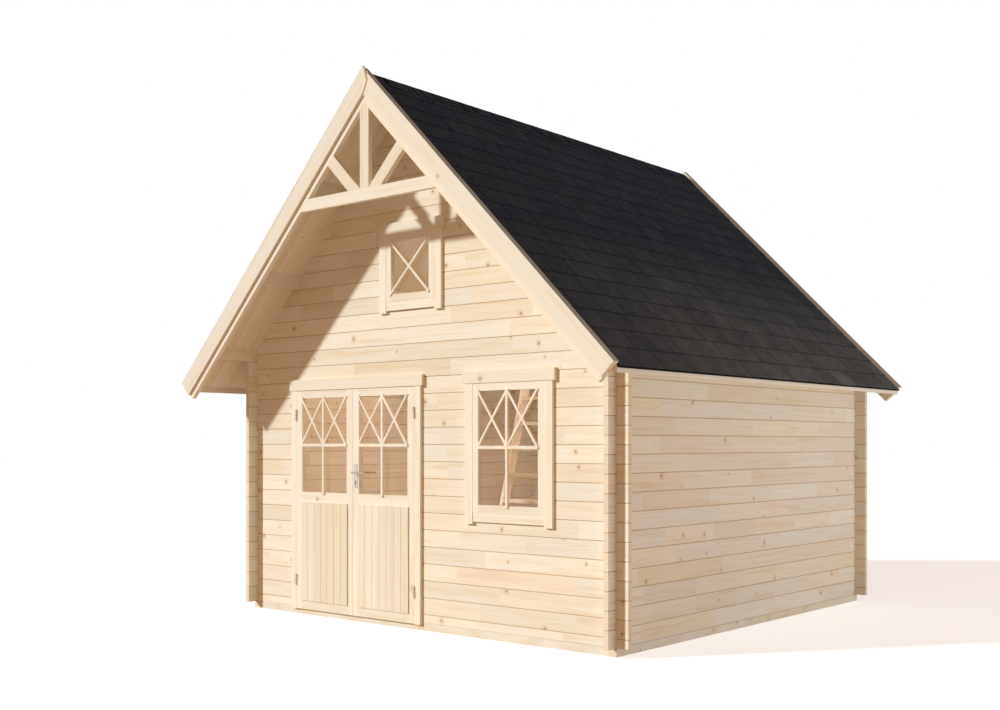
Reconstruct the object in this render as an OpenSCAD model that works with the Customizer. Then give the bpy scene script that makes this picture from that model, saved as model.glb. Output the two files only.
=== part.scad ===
// Garden house of planed logs with a steep shingled roof, an open gable
// truss over the front, a half-glazed double door and two small windows.
// Millimetres. X runs across the front, Y from the front to the back, Z up.
// The origin lies on the ground, under the middle of the whole house.

/* [House] */
// Width over the outer faces of the side walls
house_w = 3920; // [3260:10:4710]
// Depth over the outer faces of the front and back walls
house_d = 3920; // [3260:10:4710]
// Height of the side walls above the bearers, at their outer face
side_h = 2210; // [2100:1:2670]

/* [Logs] */
// Height that each log shows
log_h = 133; // [110:1:160]
// Thickness of the logs
log_t = 40; // [33:1:48]
// Length of the log ends past the crossings
log_end = 98; // [60:1:130]
// Height of the V joint between two logs
joint_h = 7; // [4:0.5:12]
// Depth of the V joint between two logs
joint_d = 4; // [2:0.5:8]

/* [Bearers and floor] */
// Height of the bearers under the walls and the floor
bearer_h = 60; // [45:1:100]
// Width of the bearers
bearer_w = 60; // [45:1:80]
// Number of bearers between the front and the back one
floor_joists = 7; // [3:1:9]
// Thickness of the floor boards
floor_t = 19; // [16:1:28]

/* [Roof] */
// Slope of the roof in degrees
roof_pitch = 45.2; // [37:0.1:54]
// Reach of the roof past the side walls, measured level
eave_out = 346; // [280:1:420]
// Reach of the roof past the front wall
front_out = 532; // [430:1:640]
// Reach of the roof past the back wall
rear_out = 200; // [170:1:260]
// Thickness of the roof boards
roof_board_t = 19; // [16:1:24]
// Thickness of the bitumen roofing
roofing_t = 5; // [4:0.5:8]
// Width of each side of the ridge cap
ridge_cap_w = 125; // [100:1:160]
// Number of purlins on each slope
purlins_a_side = 2; // [1:1:3]
// Height of the eave boards below the roof boards' lower edge
fascia_drop = 38; // [30:1:90]
// Thickness of the eave boards
fascia_t = 22; // [16:1:30]

/* [Verges and gable truss] */
// Width of the bargeboards
barge_w = 139; // [120:1:180]
// Thickness of the bargeboards
barge_t = 20; // [16:1:34]
// Width of the verge rafters behind the bargeboards
verge_w = 185; // [150:1:220]
// Thickness of the verge rafters and of the truss timbers
truss_t = 38; // [20:1:45]
// Height that the bargeboards stand above the roofing, across the slope
barge_rise = 23; // [8:1:30]
// Gap between the front bargeboards at the apex, along the left one's shaped nose
nose_gap = 22; // [6:1:30]
// Height of the truss timbers, across their length
truss_w = 94; // [70:1:110]
// Height of the tie beam's lower edge above the bearers
tie_z = 3246; // [3000:1:3400]

/* [Door] */
// Middle of the double door, from the middle of the house
door_x = -653; // [-760:1:-600]
// Width of each door leaf
leaf_w = 700; // [580:1:840]
// Thickness of the door leaves
leaf_t = 40; // [34:1:44]
// Gap between the two leaves
meet_gap = 7; // [6:0.5:10]
// Gap between a leaf and what surrounds it
leaf_gap = 5; // [5:0.5:8]
// Width of the leaves' stiles
stile_w = 70; // [55:1:90]
// Height of the leaves' top rail
top_rail_h = 61; // [50:1:90]
// Height of the leaves' middle rail
mid_rail_h = 87; // [70:1:110]
// Height of the leaves' bottom rail
bottom_rail_h = 75; // [60:1:110]
// Height of the glass in the leaves
door_glass_h = 800; // [600:1:900]
// Height that the boarded panels stand above the leaf's face
panel_out = 3; // [0:1:6]
// Thickness of the boarded panels
panel_t = 14; // [10:1:18]
// Largest opening of the leaves in degrees
door_swing = 165; // [90:1:165]

/* [Casings] */
// Height of the door and window heads above the bearers
head_z = 1857; // [1700:1:1900]
// Width of the casing boards beside the door
door_casing_w = 62; // [50:1:75]
// Width of the casing boards beside a window
casing_w = 74; // [55:1:85]
// Thickness of the casing boards
casing_t = 26; // [16:1:28]
// Height of the head boards
head_board_h = 91; // [70:1:110]
// Reach of the head boards past the casings
head_board_out = 24; // [10:1:40]
// Thickness of the frames in the log openings
frame_t = 40; // [30:1:45]

/* [Front window] */
// Middle of the window, from the middle of the house
window_x = 1006; // [900:1:1020]
// Width of the window between its casings
window_w = 685; // [580:1:780]
// Height of the sash's lower edge above the bearers
window_z = 886; // [740:1:1060]
// Width of the sash timbers
sash_w = 56; // [45:1:70]
// Thickness of the sashes
sash_t = 38; // [30:1:38]
// Depth that the sashes lie behind the casings' face
sash_inset = 2; // [0:1:20]
// Height of the apron board under the sash
apron_h = 69; // [50:1:90]
// Length of the casings below the apron
casing_foot = 19; // [10:1:40]

/* [Gable window] */
// Width of the gable window between its casings
gable_window_w = 530; // [440:1:620]
// Height of the gable sash's lower edge above the bearers
gable_window_z = 2536; // [2500:1:2600]
// Height of the gable sash
gable_window_h = 536; // [450:1:600]

/* [Glass] */
// Thickness of the glass
glass_t = 4; // [3:0.5:6]

/* [Door furniture] */
// Radius of the hinge knuckles
knuckle_r = 7; // [5:0.5:8]
// Radius of the hinge pins
pin_r = 4; // [3:0.5:4.5]
// Height of the hinges
hinge_h = 93; // [70:1:120]
// Width of the hinge wings
wing_w = 17; // [14:1:24]
// Thickness of the hinge wings
wing_t = 2.5; // [2:0.5:3]
// Height of the upper hinges' middle above the bearers
hinge_top_z = 1648; // [1500:1:1700]
// Height of the lower hinges' middle above the bearers
hinge_low_z = 237; // [180:1:400]
// Width of the lock plates
plate_w = 43; // [36:1:50]
// Height of the lock plates
plate_h = 200; // [180:1:240]
// Thickness of the lock plates
plate_t = 3; // [2:0.5:4]
// Height of the lever above the bearers
lever_z = 1166; // [950:1:1200]
// Length of the lever
lever_l = 140; // [100:1:150]
// Distance of the keyhole below the lever
keyhole_drop = 76; // [60:1:90]

/* [Loft and ladder] */
// Height of the loft joists' lower edge above the bearers
loft_z = 1995; // [1900:1:2050]
// Height of the loft joists
joist_h = 95; // [80:1:120]
// Width of the loft joists
joist_w = 45; // [35:1:60]
// Number of loft joists
loft_joist_count = 6; // [3:1:8]
// Thickness of the loft boards
loft_board_t = 19; // [16:1:24]
// Distance of the loft's front edge from the front wall's outer face
loft_y = 1640; // [1400:1:1960]
// Lean of the ladder in degrees
ladder_lean = 16; // [12:0.5:20]
// Width of the ladder over its stringers
ladder_w = 450; // [380:1:540]
// Middle of the ladder, from the middle of the house
ladder_x = 125; // [0:1:300]
// Width of the stringers and treads
tread_d = 90; // [80:1:110]
// Thickness of the stringers and treads
tread_t = 28; // [22:1:34]
// Spacing of the treads
tread_rise = 225; // [200:1:250]

/* [Hidden] */

$fn = 48;

// Clearances
fit = 0.3;      // between pieces that seat on each other
cut_gap = 1;    // between a frame and the logs round it
pin_gap = 0.3;  // round a hinge pin

// Colours
pine = [0.93, 0.82, 0.64];
pale_pine = [0.96, 0.88, 0.73];
shade_pine = [0.86, 0.73, 0.54];
bitumen = [0.16, 0.16, 0.17];
steel = [0.72, 0.72, 0.72];
clear = [0.75, 0.85, 0.88, 0.35];

// House
half_w = house_w/2;
in_w = half_w - log_t;
front_y = (front_out - rear_out - house_d)/2;
back_y = front_y + house_d;
in_front_y = front_y + log_t;
in_back_y = back_y - log_t;
base_z = bearer_h;
floor_z = base_z + floor_t;

// Roof: the underside of the roof boards meets a side wall's outer face at eave_z
tan_r = tan(roof_pitch);
cos_r = cos(roof_pitch);
eave_z = base_z + side_h;
board_top = roof_board_t/cos_r;
roofing_top = board_top + roofing_t/cos_r;
verge_top = roofing_top + barge_rise/cos_r;
apex_z = under(0) + verge_top;
verge_front_y = front_y - front_out;
verge_back_y = back_y + rear_out;
deck_front_y = verge_front_y + barge_t + truss_t;
deck_back_y = verge_back_y - barge_t - truss_t;
roof_x = half_w + eave_out;
fascia_x = roof_x - 14;

// Height of the roof boards' underside at a distance x from the middle
function under(x) = eave_z + (half_w - abs(x))*tan_r;
// Distance from the middle at which that underside has the height z
function reach(z) = half_w - (z - eave_z)/tan_r;

// Log courses. Side logs start on the bearers; front and back logs lie half a log lower.
function side_z(k) = base_z + k*log_h;
function front_z(k) = base_z + (k + 0.5)*log_h;
side_logs = floor(side_h/log_h - 0.35);
head_course = ceil((head_z + frame_t)/log_h - 0.5);
sill_course = floor((window_z - frame_t/2)/log_h - 0.5);
top_course = ceil((under(0) - base_z)/log_h);
notch = log_h/4;

// Purlins lie on front and back wall courses, under the roof boards
purlin_h = 0.95*log_h;
ridge_course = floor((under(0) - base_z - 0.7*log_h)/log_h - 0.5);
function purlin_course(i) =
    round((under(half_w*(1 - i/(purlins_a_side + 1))) - base_z - purlin_h)/log_h - 0.5);
function purlin_x(i) = reach(front_z(purlin_course(i)) + purlin_h);

// Door
leaf_half = leaf_w + meet_gap/2;
door_half = leaf_half + leaf_gap;
door_cut_half = door_half + frame_t + cut_gap;
leaf_front_y = front_y - casing_t;
leaf_back_y = leaf_front_y + leaf_t;
leaf_bottom_z = base_z + leaf_gap;
lip_z = base_z - 12;
lip_t = casing_t - leaf_gap;
leaf_top_z = base_z + head_z - leaf_gap;
door_glass_top = leaf_top_z - top_rail_h;
door_glass_z = door_glass_top - door_glass_h;
panel_top = door_glass_z - mid_rail_h;
panel_z = lip_z + bottom_rail_h;
head_top_z = front_z(head_course);

// Windows
window_cut_half = window_w/2 + frame_t*0.75 + cut_gap;
sill_cut_z = front_z(sill_course);
sash_front_y = front_y - casing_t + sash_inset;

// Hinges and lock
hinge_y = leaf_front_y - knuckle_r - fit;
hinge_off = leaf_half + leaf_gap/2;
lock_x = door_x + meet_gap/2 + stile_w/2;
lever_rise = base_z + lever_z;
lever_out = 43;     // from the leaf's face to the middle of the grip
lever_r = 7;        // half the height of the grip
grip_t = 12;
neck_r = 6.5;
collar_r = 9;
spindle_r = 4;

// Loft
loft_front_y = front_y + loft_y;
loft_top_z = base_z + loft_z + joist_h + loft_board_t;
joist_seat = log_t/2;

// ---- Helpers ----

module box(a, b) {
    translate(a) cube([b[0] - a[0], b[1] - a[1], b[2] - a[2]]);
}

// Turns a drawing in X and Z into a solid from y0 to y1
module along_y(y0, y1) {
    translate([0, y1, 0]) rotate([90, 0, 0]) linear_extrude(y1 - y0) children();
}

// Turns a drawing in Y and Z into a solid from x0 to x1
module along_x(x0, x1) {
    translate([x0, 0, 0]) rotate([90, 0, 90]) linear_extrude(x1 - x0) children();
}

// Section of a log wall from z0 to z1, with a V joint on both faces at each joint height
module log_section(z0, z1, joints) {
    v = joint_h/2;
    js = [for (j = joints) if (j > z0 - v && j < z1 + v) j];
    difference() {
        translate([0, z0]) square([log_t, z1 - z0]);
        for (j = js) {
            polygon([[-1, j - v - v/joint_d], [joint_d, j], [-1, j + v + v/joint_d]]);
            polygon([[log_t + 1, j - v - v/joint_d], [log_t - joint_d, j],
                [log_t + 1, j + v + v/joint_d]]);
        }
    }
}

side_joints = [for (k = [0:side_logs]) side_z(k)];
front_joints = [base_z, for (k = [0:top_course]) front_z(k)];

// A stretch of front or back wall. y is its outer face's or its front side's place.
module cross_wall(x0, x1, z0, z1, y) {
    translate([0, y, 0]) along_x(x0, x1) log_section(z0, z1, front_joints);
}

// Everything that lies under the roof boards, as wide as the log ends
module under_roof(y0, y1) {
    w = half_w + log_end;
    along_y(y0, y1) polygon([[-w - 1, 0], [w + 1, 0], [w + 1, under(w + 1) - fit],
        [0, under(0) - fit], [-w - 1, under(w + 1) - fit]]);
}

// Space in the front and back walls for the crossing side logs
module side_log_notches(y0, y1) {
    for (s = [-1, 1]) {
        xa = s > 0 ? in_w - fit : -half_w - fit;
        for (k = [0:side_logs - 1])
            box([xa, y0, side_z(k) + notch - fit], [xa + log_t + 2*fit, y1, side_z(k + 1) - notch + fit]);
        box([xa, y0, side_z(side_logs) + notch - fit], [xa + log_t + 2*fit, y1, eave_z + house_w]);
    }
}

// Space in a side wall for the crossing front or back logs
module cross_log_notches(x0, x1) {
    for (y = [front_y, in_back_y]) {
        box([x0, y - fit, 0], [x1, y + log_t + fit, base_z + notch + fit]);
        for (k = [1:side_logs])
            box([x0, y - fit, side_z(k) - notch - fit], [x1, y + log_t + fit, side_z(k) + notch + fit]);
    }
}

// Space in the front and back walls for the purlins
module purlin_pockets(y0, y1) {
    for (i = [1:purlins_a_side])
        for (s = [-1, 1])
            mirror([s > 0 ? 0 : 1, 0, 0])
                box([purlin_x(i) - cut_gap, y0, front_z(purlin_course(i)) - cut_gap],
                    [purlin_x(i) + log_t + cut_gap, y1, under(0)]);
    box([-log_t/2 - cut_gap, y0, front_z(ridge_course) - cut_gap],
        [log_t/2 + cut_gap, y1, under(0) + 1]);
}

// Seats for the loft joists' ends in the side logs
module joist_pockets() {
    for (i = [0:loft_joist_count - 1])
        box([in_w - 1, loft_joist_y(i) - cut_gap, base_z + loft_z - fit],
            [in_w + joist_seat + cut_gap, loft_joist_y(i) + joist_w + cut_gap,
                base_z + loft_z + joist_h + cut_gap]);
}

// A band that follows the roof, from lo to hi above the roof boards' underside, across x0..x1
module roof_band(x0, x1, lo, hi) {
    polygon([[x0, under(x0) + lo], [x1, under(x1) + lo], [x1, under(x1) + hi],
        [x0, under(x0) + hi]]);
}

// A verge board: its top follows the roof, its foot is cut square to the slope
module verge_board(w, y0, y1) {
    along_y(y0, y1) polygon([[fit/2, apex_z - fit/2*tan_r], verge_tip(), verge_tip() - verge_foot(w),
        [fit/2, apex_z - w/cos_r - fit/2*tan_r]]);
}

// Outer end of a verge board's top edge, and the way across the board to its lower edge
function verge_tip() = [roof_x, under(roof_x) + verge_top];
function verge_foot(w) = w*[sin(roof_pitch), cos_r];

// Shaped end at the apex: its crown, its nose and a point on the line on past its foot
function nose_crown(x) = [x + 0.06*barge_w, apex_z + 0.06*barge_w*tan_r];
function nose_tip(x) = [x + 0.3*barge_w, apex_z - 0.78*barge_w];
function nose_foot(x) = [x, apex_z - barge_w/cos_r];

module mirrored(s) {
    mirror([s > 0 ? 0 : 1, 0, 0]) children();
}

// ---- Ground frame and floor ----

module floor_bearers() {
    color(pine) {
        for (s = [-1, 1]) mirrored(s)
            box([half_w - bearer_w, front_y, 0], [half_w, back_y, bearer_h - fit]);
        xi = half_w - bearer_w - fit;
        pitch = (house_d - bearer_w)/(floor_joists + 1);
        for (i = [0:floor_joists + 1])
            box([-xi, front_y + i*pitch, 0], [xi, front_y + i*pitch + bearer_w, bearer_h - fit]);
    }
}

module floor_boards() {
    color(shade_pine)
        box([-in_w + cut_gap, in_front_y + cut_gap, base_z], [in_w - cut_gap, in_back_y - cut_gap, floor_z]);
}

// ---- Walls ----

module side_wall(s) {
    color(pine) mirrored(s) difference() {
        translate([in_w, 0, 0]) along_y(front_y - log_end, back_y + log_end)
            log_section(base_z, side_z(side_logs) - fit, side_joints);
        cross_log_notches(in_w - 1, half_w + 1);
        joist_pockets();
    }
}

module side_wall_left() { side_wall(-1); }
module side_wall_right() { side_wall(1); }

// The top log of each side wall, bevelled to the roof and run out to the verges
module wall_plates() {
    color(pine) for (s = [-1, 1]) mirrored(s) difference() {
        along_y(deck_front_y + fit, deck_back_y - fit) intersection() {
            translate([in_w, 0]) log_section(side_z(side_logs), under(in_w), side_joints);
            roof_band(in_w, half_w, -side_h, -fit);
        }
        for (y = [front_y, in_back_y])
            box([in_w - 1, y - fit, side_z(side_logs) - 1],
                [half_w + 1, y + log_t + fit, side_z(side_logs) + notch + fit]);
        joist_pockets();
    }
}

module back_wall() {
    color(pine) difference() {
        intersection() {
            cross_wall(-half_w - log_end, half_w + log_end, base_z, under(0), in_back_y);
            under_roof(in_back_y - 1, back_y + 1);
        }
        side_log_notches(in_back_y - 1, back_y + 1);
        purlin_pockets(in_back_y - 1, back_y + 1);
    }
}

module front_wall_left() {
    color(pine) difference() {
        cross_wall(-half_w - log_end, door_x - door_cut_half, base_z, head_top_z, front_y);
        side_log_notches(front_y - 1, in_front_y + 1);
    }
}

// Logs under the window
module front_wall_right() {
    color(pine) difference() {
        cross_wall(door_x + door_cut_half, half_w + log_end, base_z, sill_cut_z, front_y);
        side_log_notches(front_y - 1, in_front_y + 1);
    }
}

// Short logs between the door and the window
module front_wall_pier() {
    color(pine)
        cross_wall(door_x + door_cut_half, window_x - window_cut_half, sill_cut_z + fit, head_top_z, front_y);
}

// Short logs between the window and the corner
module front_wall_end() {
    color(pine) difference() {
        cross_wall(window_x + window_cut_half, half_w + log_end, sill_cut_z + fit, head_top_z, front_y);
        side_log_notches(front_y - 1, in_front_y + 1);
    }
}

module front_gable() {
    w = gable_window_w/2 + frame_t*0.75 + cut_gap;
    color(pine) difference() {
        intersection() {
            cross_wall(-half_w - log_end, half_w + log_end, head_top_z + fit, under(0), front_y);
            under_roof(front_y - 1, in_front_y + 1);
        }
        side_log_notches(front_y - 1, in_front_y + 1);
        purlin_pockets(front_y - 1, in_front_y + 1);
        box([-w, front_y - 1, gable_frame_z0 - fit], [w, in_front_y + 1, gable_frame_z1 + cut_gap]);
    }
}

// ---- Roof ----

module purlins() {
    color(shade_pine) for (s = [-1, 1]) mirrored(s)
        for (i = [1:purlins_a_side])
            along_y(deck_front_y + fit, deck_back_y - fit)
                intersection() {
                    translate([purlin_x(i), front_z(purlin_course(i))]) square([log_t, log_h*2]);
                    roof_band(purlin_x(i), purlin_x(i) + log_t, -log_h*3, -fit);
                }
}

module ridge_purlin() {
    z = front_z(ridge_course);
    w = log_t/2;
    color(shade_pine) along_y(deck_front_y + fit, deck_back_y - fit)
        polygon([[-w, z], [w, z], [w, under(w) - fit], [0, under(0) - fit], [-w, under(w) - fit]]);
}

module roof_boards(s) {
    color(shade_pine) mirrored(s) along_y(deck_front_y + fit, deck_back_y - fit)
        roof_band(fit/2, fascia_x - fascia_t - fit, 0, board_top);
}

module roof_boards_left() { roof_boards(-1); }
module roof_boards_right() { roof_boards(1); }

module roofing(s) {
    color(bitumen) mirrored(s) along_y(deck_front_y + fit, deck_back_y - fit)
        roof_band(fit/2, roof_x, board_top + fit, roofing_top);
}

module roofing_left() { roofing(-1); }
module roofing_right() { roofing(1); }

// A strip on each side of the ridge
module ridge_cap() {
    lo = roofing_top + fit;
    color(bitumen) for (s = [-1, 1]) mirrored(s) along_y(deck_front_y + fit, deck_back_y - fit)
        roof_band(fit/2, ridge_cap_w*cos_r, lo, lo + 4/cos_r);
}

// The left board runs on past the middle and ends in a nose
module bargeboard_front_left() {
    outer = [-verge_tip()[0], verge_tip()[1]];
    across = [-verge_foot(barge_w)[0], verge_foot(barge_w)[1]];
    color(pale_pine) along_y(verge_front_y, verge_front_y + barge_t)
        polygon([outer, nose_crown(0), nose_tip(0), nose_foot(0), outer - across]);
}

// The right board is cut back to the same outline
module bargeboard_front_right() {
    run_on = nose_foot(nose_gap) + 0.5*(nose_foot(0) - nose_tip(0));
    color(pale_pine) difference() {
        verge_board(barge_w, verge_front_y, verge_front_y + barge_t);
        along_y(verge_front_y - 1, verge_front_y + barge_t + 1)
            polygon([[-barge_w, run_on[1]], run_on, nose_tip(nose_gap), nose_crown(nose_gap),
                [-barge_w, apex_z + barge_w]]);
    }
}

module bargeboards_rear() {
    color(pale_pine) for (s = [-1, 1]) mirrored(s)
        verge_board(barge_w, verge_back_y - barge_t, verge_back_y);
}

module verge_rafters_front() {
    color(pale_pine) for (s = [-1, 1]) mirrored(s)
        verge_board(verge_w, verge_front_y + barge_t, deck_front_y);
}

module verge_rafters_rear() {
    color(pale_pine) for (s = [-1, 1]) mirrored(s)
        verge_board(verge_w, deck_back_y, verge_back_y - barge_t);
}

// Boards that close the ends of the roof boards along the eaves
module eave_boards() {
    x0 = fascia_x - fascia_t;
    color(pale_pine) for (s = [-1, 1]) mirrored(s)
        along_y(deck_front_y + fit, deck_back_y - fit)
            polygon([[x0, under(x0) - fascia_drop], [fascia_x, under(x0) - fascia_drop],
                [fascia_x, under(fascia_x) + board_top - fit], [x0, under(x0) + board_top - fit]]);
}

// ---- Gable truss, in the plane of the verge rafters ----

tie_low = base_z + tie_z;
tie_high = tie_low + truss_w;
truss_y0 = verge_front_y + barge_t;
verge_low = verge_top - verge_w/cos_r - fit;

// Reach of the space between the verge rafters at height z
function truss_x(z) = half_w - (z - verge_low - eave_z)/tan_r;

module truss_timber() { along_y(truss_y0, deck_front_y) children(); }

module tie_beam() {
    color(pale_pine) truss_timber()
        polygon([[-truss_x(tie_low), tie_low], [truss_x(tie_low), tie_low],
            [truss_x(tie_high), tie_high], [-truss_x(tie_high), tie_high]]);
}

module king_post() {
    w = truss_w/2;
    z0 = tie_high + fit;
    color(pale_pine) truss_timber()
        polygon([[-w, z0], [w, z0], [w, under(w) + verge_low], [0, under(0) + verge_low],
            [-w, under(w) + verge_low]]);
}

// Each strut rises square to its verge rafter from the foot of the king post
module struts() {
    x0 = truss_w/2 + fit;
    z0 = tie_high + fit;
    foot = truss_w/sin(90 - roof_pitch);
    color(pale_pine) for (s = [-1, 1]) mirrored(s) truss_timber()
        intersection() {
            polygon([[x0, z0], [x0 + foot, z0], [x0 + foot + 2*house_w*tan_r, z0 + 2*house_w],
                [x0 + 2*house_w*tan_r, z0 + 2*house_w]]);
            polygon([[0, z0], [truss_x(z0), z0], [0, under(0) + verge_low]]);
        }
}

// ---- Door ----

// Jambs, head and stops in the log opening
module door_frame() {
    z1 = leaf_top_z + leaf_gap;
    stop = 15;
    stop_y = leaf_back_y + leaf_gap;
    color(pale_pine) translate([door_x, 0, 0]) {
        for (s = [-1, 1]) mirrored(s) {
            box([door_half, front_y, base_z], [door_half + frame_t, in_front_y, head_top_z - cut_gap]);
            box([door_half - stop, stop_y, base_z], [door_half - fit, in_front_y, z1 - stop - fit]);
        }
        box([-door_half + fit, front_y, z1], [door_half - fit, in_front_y, head_top_z - cut_gap]);
        box([-door_half + fit, stop_y, z1 - stop], [door_half - fit, in_front_y, z1 - fit]);
    }
}

// Casing boards and head board on the logs' face
module casing(half, side_w, z0, z1) {
    y0 = front_y - casing_t;
    y1 = front_y - fit;
    w = half + side_w;
    color(pale_pine) {
        for (s = [-1, 1]) mirrored(s) box([half, y0, z0], [w, y1, z1 - fit]);
        box([-w - head_board_out, y0 - 6, z1], [w + head_board_out, y1, z1 + head_board_h]);
    }
}

module door_casing() {
    translate([door_x, 0, 0]) casing(door_half, door_casing_w, lip_z - 4, base_z + head_z);
}

// One leaf, drawn with its hinge side at x = 0 and its free side at x = leaf_w
module leaf(locked) {
    color(pale_pine) difference() {
        union() {
            box([0, leaf_front_y, leaf_bottom_z], [leaf_w, leaf_back_y, leaf_top_z]);
            box([0, leaf_front_y, lip_z], [leaf_w, leaf_front_y + lip_t, leaf_bottom_z + 1]);
            box([stile_w, leaf_front_y - panel_out, panel_z],
                [leaf_w - stile_w, leaf_front_y + 1, panel_top]);
        }
        box([stile_w, leaf_front_y - 1, door_glass_z], [leaf_w - stile_w, leaf_back_y + 1, door_glass_top]);
        box([stile_w, leaf_front_y - panel_out + panel_t, panel_z],
            [leaf_w - stile_w, leaf_back_y + 1, panel_top]);
        if (locked)
            translate([leaf_w - stile_w/2, leaf_back_y + 1, lever_rise]) rotate([90, 0, 0])
                cylinder(r = spindle_r + pin_gap, h = leaf_t + 2);
    }
}

module pane(x0, x1, z0, z1, y) {
    color(clear) box([x0 + fit, y, z0 + fit], [x1 - fit, y + glass_t, z1 - fit]);
}

module leaf_pane() {
    pane(stile_w, leaf_w - stile_w, door_glass_z, door_glass_top, leaf_front_y + leaf_t/2);
}

module at_leaf(s) {
    translate([door_x, 0, 0]) mirrored(s) translate([leaf_half, 0, 0]) mirror([1, 0, 0]) children();
}

module door_leaf_left() { at_leaf(-1) leaf(false); }
module door_leaf_right() { at_leaf(1) leaf(true); }
module door_pane_left() { at_leaf(-1) leaf_pane(); }
module door_pane_right() { at_leaf(1) leaf_pane(); }

// ---- Hinges ----

hinge_zs = [base_z + hinge_low_z, base_z + hinge_top_z];

// Lower knuckle, wing on the casing and the pin that the leaf's knuckle turns on
module hinge_pins() {
    color(steel) for (s = [-1, 1]) translate([door_x, 0, 0]) mirrored(s)
        for (z = hinge_zs) translate([hinge_off, hinge_y, z - hinge_h/2]) {
            cylinder(r = knuckle_r, h = hinge_h/2 - fit);
            cylinder(r = pin_r, h = hinge_h - 6);
            translate([0, knuckle_r - wing_t, 0])
                cube([wing_w + leaf_gap/2, wing_t, hinge_h/2 - fit]);
        }
}

// Upper knuckle and the wing on the leaf
module hinge_knuckles(s) {
    color(steel) translate([door_x, 0, 0]) mirrored(s)
        for (z = hinge_zs) translate([hinge_off, hinge_y, z]) difference() {
            union() {
                cylinder(r = knuckle_r, h = hinge_h/2);
                translate([-wing_w - leaf_gap/2, knuckle_r - wing_t, 0])
                    cube([wing_w + leaf_gap/2, wing_t, hinge_h/2]);
            }
            translate([0, 0, -1]) cylinder(r = pin_r + pin_gap, h = hinge_h/2 - 4);
        }
}

module hinge_knuckles_left() { hinge_knuckles(-1); }
module hinge_knuckles_right() { hinge_knuckles(1); }

// ---- Lock ----

// A plate with a round hole for the lever and a slot for the key, its back at y = 0
module lock_plate() {
    middle = lever_rise + collar_r + 62 - plate_h/2;
    translate([0, 0, middle]) rotate([90, 0, 0]) linear_extrude(plate_t) difference() {
        square([plate_w, plate_h], center = true);
        translate([0, lever_rise - middle]) circle(r = collar_r + pin_gap);
        translate([0, lever_rise - keyhole_drop - middle]) {
            circle(r = 3.5);
            translate([0, -5]) square([3, 10], center = true);
        }
    }
}

module lock_plates() {
    color(steel) {
        translate([lock_x, leaf_front_y - fit, 0]) lock_plate();
        translate([lock_x, leaf_back_y + fit + plate_t, 0]) lock_plate();
    }
}

// Collar, neck and flat grip, reaching out to -Y
module lever_half() {
    rotate([90, 0, 0]) {
        cylinder(r = collar_r, h = plate_t + 9);
        cylinder(r = neck_r, h = lever_out);
    }
    translate([0, grip_t/2 - lever_out, 0]) rotate([90, 0, 0]) linear_extrude(grip_t) {
        circle(r = lever_r);
        translate([0, -lever_r]) square([lever_l, 2*lever_r]);
        translate([lever_l, 0]) circle(r = lever_r);
    }
}

// Both grips on the spindle through the leaf
module door_lever() {
    color(steel) translate([lock_x, 0, lever_rise]) {
        translate([0, leaf_front_y - fit, 0]) lever_half();
        translate([0, leaf_back_y + fit, 0]) mirror([0, 1, 0]) lever_half();
        translate([0, leaf_back_y + 1, 0]) rotate([90, 0, 0]) cylinder(r = spindle_r, h = leaf_t + 2);
    }
}

// ---- Windows ----

// Four boards round an opening: jambs with the head and the sill between them
module frame_boards(half_out, z0, z1, half_in, zi0, zi1) {
    for (s = [-1, 1]) mirrored(s) box([half_in, front_y, z0], [half_out, in_front_y, z1]);
    box([-half_in + fit, front_y, z0], [half_in - fit, in_front_y, zi0]);
    box([-half_in + fit, front_y, zi1], [half_in - fit, in_front_y, z1]);
}

module fixed_window_frame(w, sash_z0, sash_z1, out_z0, out_z1) {
    half = w/2;
    color(pale_pine) {
        frame_boards(half + frame_t*0.75, out_z0, out_z1, half + fit, sash_z0 - fit, sash_z1 + fit);
        casing(half, casing_w, sash_z0 - apron_h - casing_foot, sash_z1);
        box([-half + fit, front_y - casing_t + 4, sash_z0 - apron_h],
            [half - fit, front_y - fit, sash_z0 - fit]);
    }
}

module sash(w, z0, z1) {
    half = w/2;
    color(pale_pine) difference() {
        box([-half, sash_front_y, z0], [half, sash_front_y + sash_t, z1]);
        box([sash_w - half, sash_front_y - 1, z0 + sash_w + 2],
            [half - sash_w, sash_front_y + sash_t + 1, z1 - sash_w - 2]);
    }
}

module sash_pane(w, z0, z1) {
    half = w/2 - sash_w;
    pane(-half, half, z0 + sash_w + 2, z1 - sash_w - 2, sash_front_y + sash_t/2);
}

window_z0 = base_z + window_z;
window_z1 = base_z + head_z;

module window_frame() {
    translate([window_x, 0, 0])
        fixed_window_frame(window_w, window_z0, window_z1, sill_cut_z + fit, head_top_z - cut_gap);
}

module window_sash() { translate([window_x, 0, 0]) sash(window_w, window_z0, window_z1); }
module window_pane() { translate([window_x, 0, 0]) sash_pane(window_w, window_z0, window_z1); }

gable_z0 = base_z + gable_window_z;
gable_z1 = gable_z0 + gable_window_h;
gable_frame_z0 = gable_z0 - frame_t*0.75;
gable_frame_z1 = gable_z1 + frame_t*0.75;

module gable_window_frame() {
    fixed_window_frame(gable_window_w, gable_z0, gable_z1, gable_frame_z0, gable_frame_z1);
}

module gable_window_sash() { sash(gable_window_w, gable_z0, gable_z1); }
module gable_window_pane() { sash_pane(gable_window_w, gable_z0, gable_z1); }

// ---- Loft and ladder ----

function loft_joist_y(i) =
    loft_front_y + i*(in_back_y - cut_gap - joist_w - loft_front_y)/(loft_joist_count - 1);

module loft_joists() {
    w = in_w + joist_seat;
    color(shade_pine) for (i = [0:loft_joist_count - 1])
        box([-w, loft_joist_y(i), base_z + loft_z],
            [w, loft_joist_y(i) + joist_w, base_z + loft_z + joist_h]);
}

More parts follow.
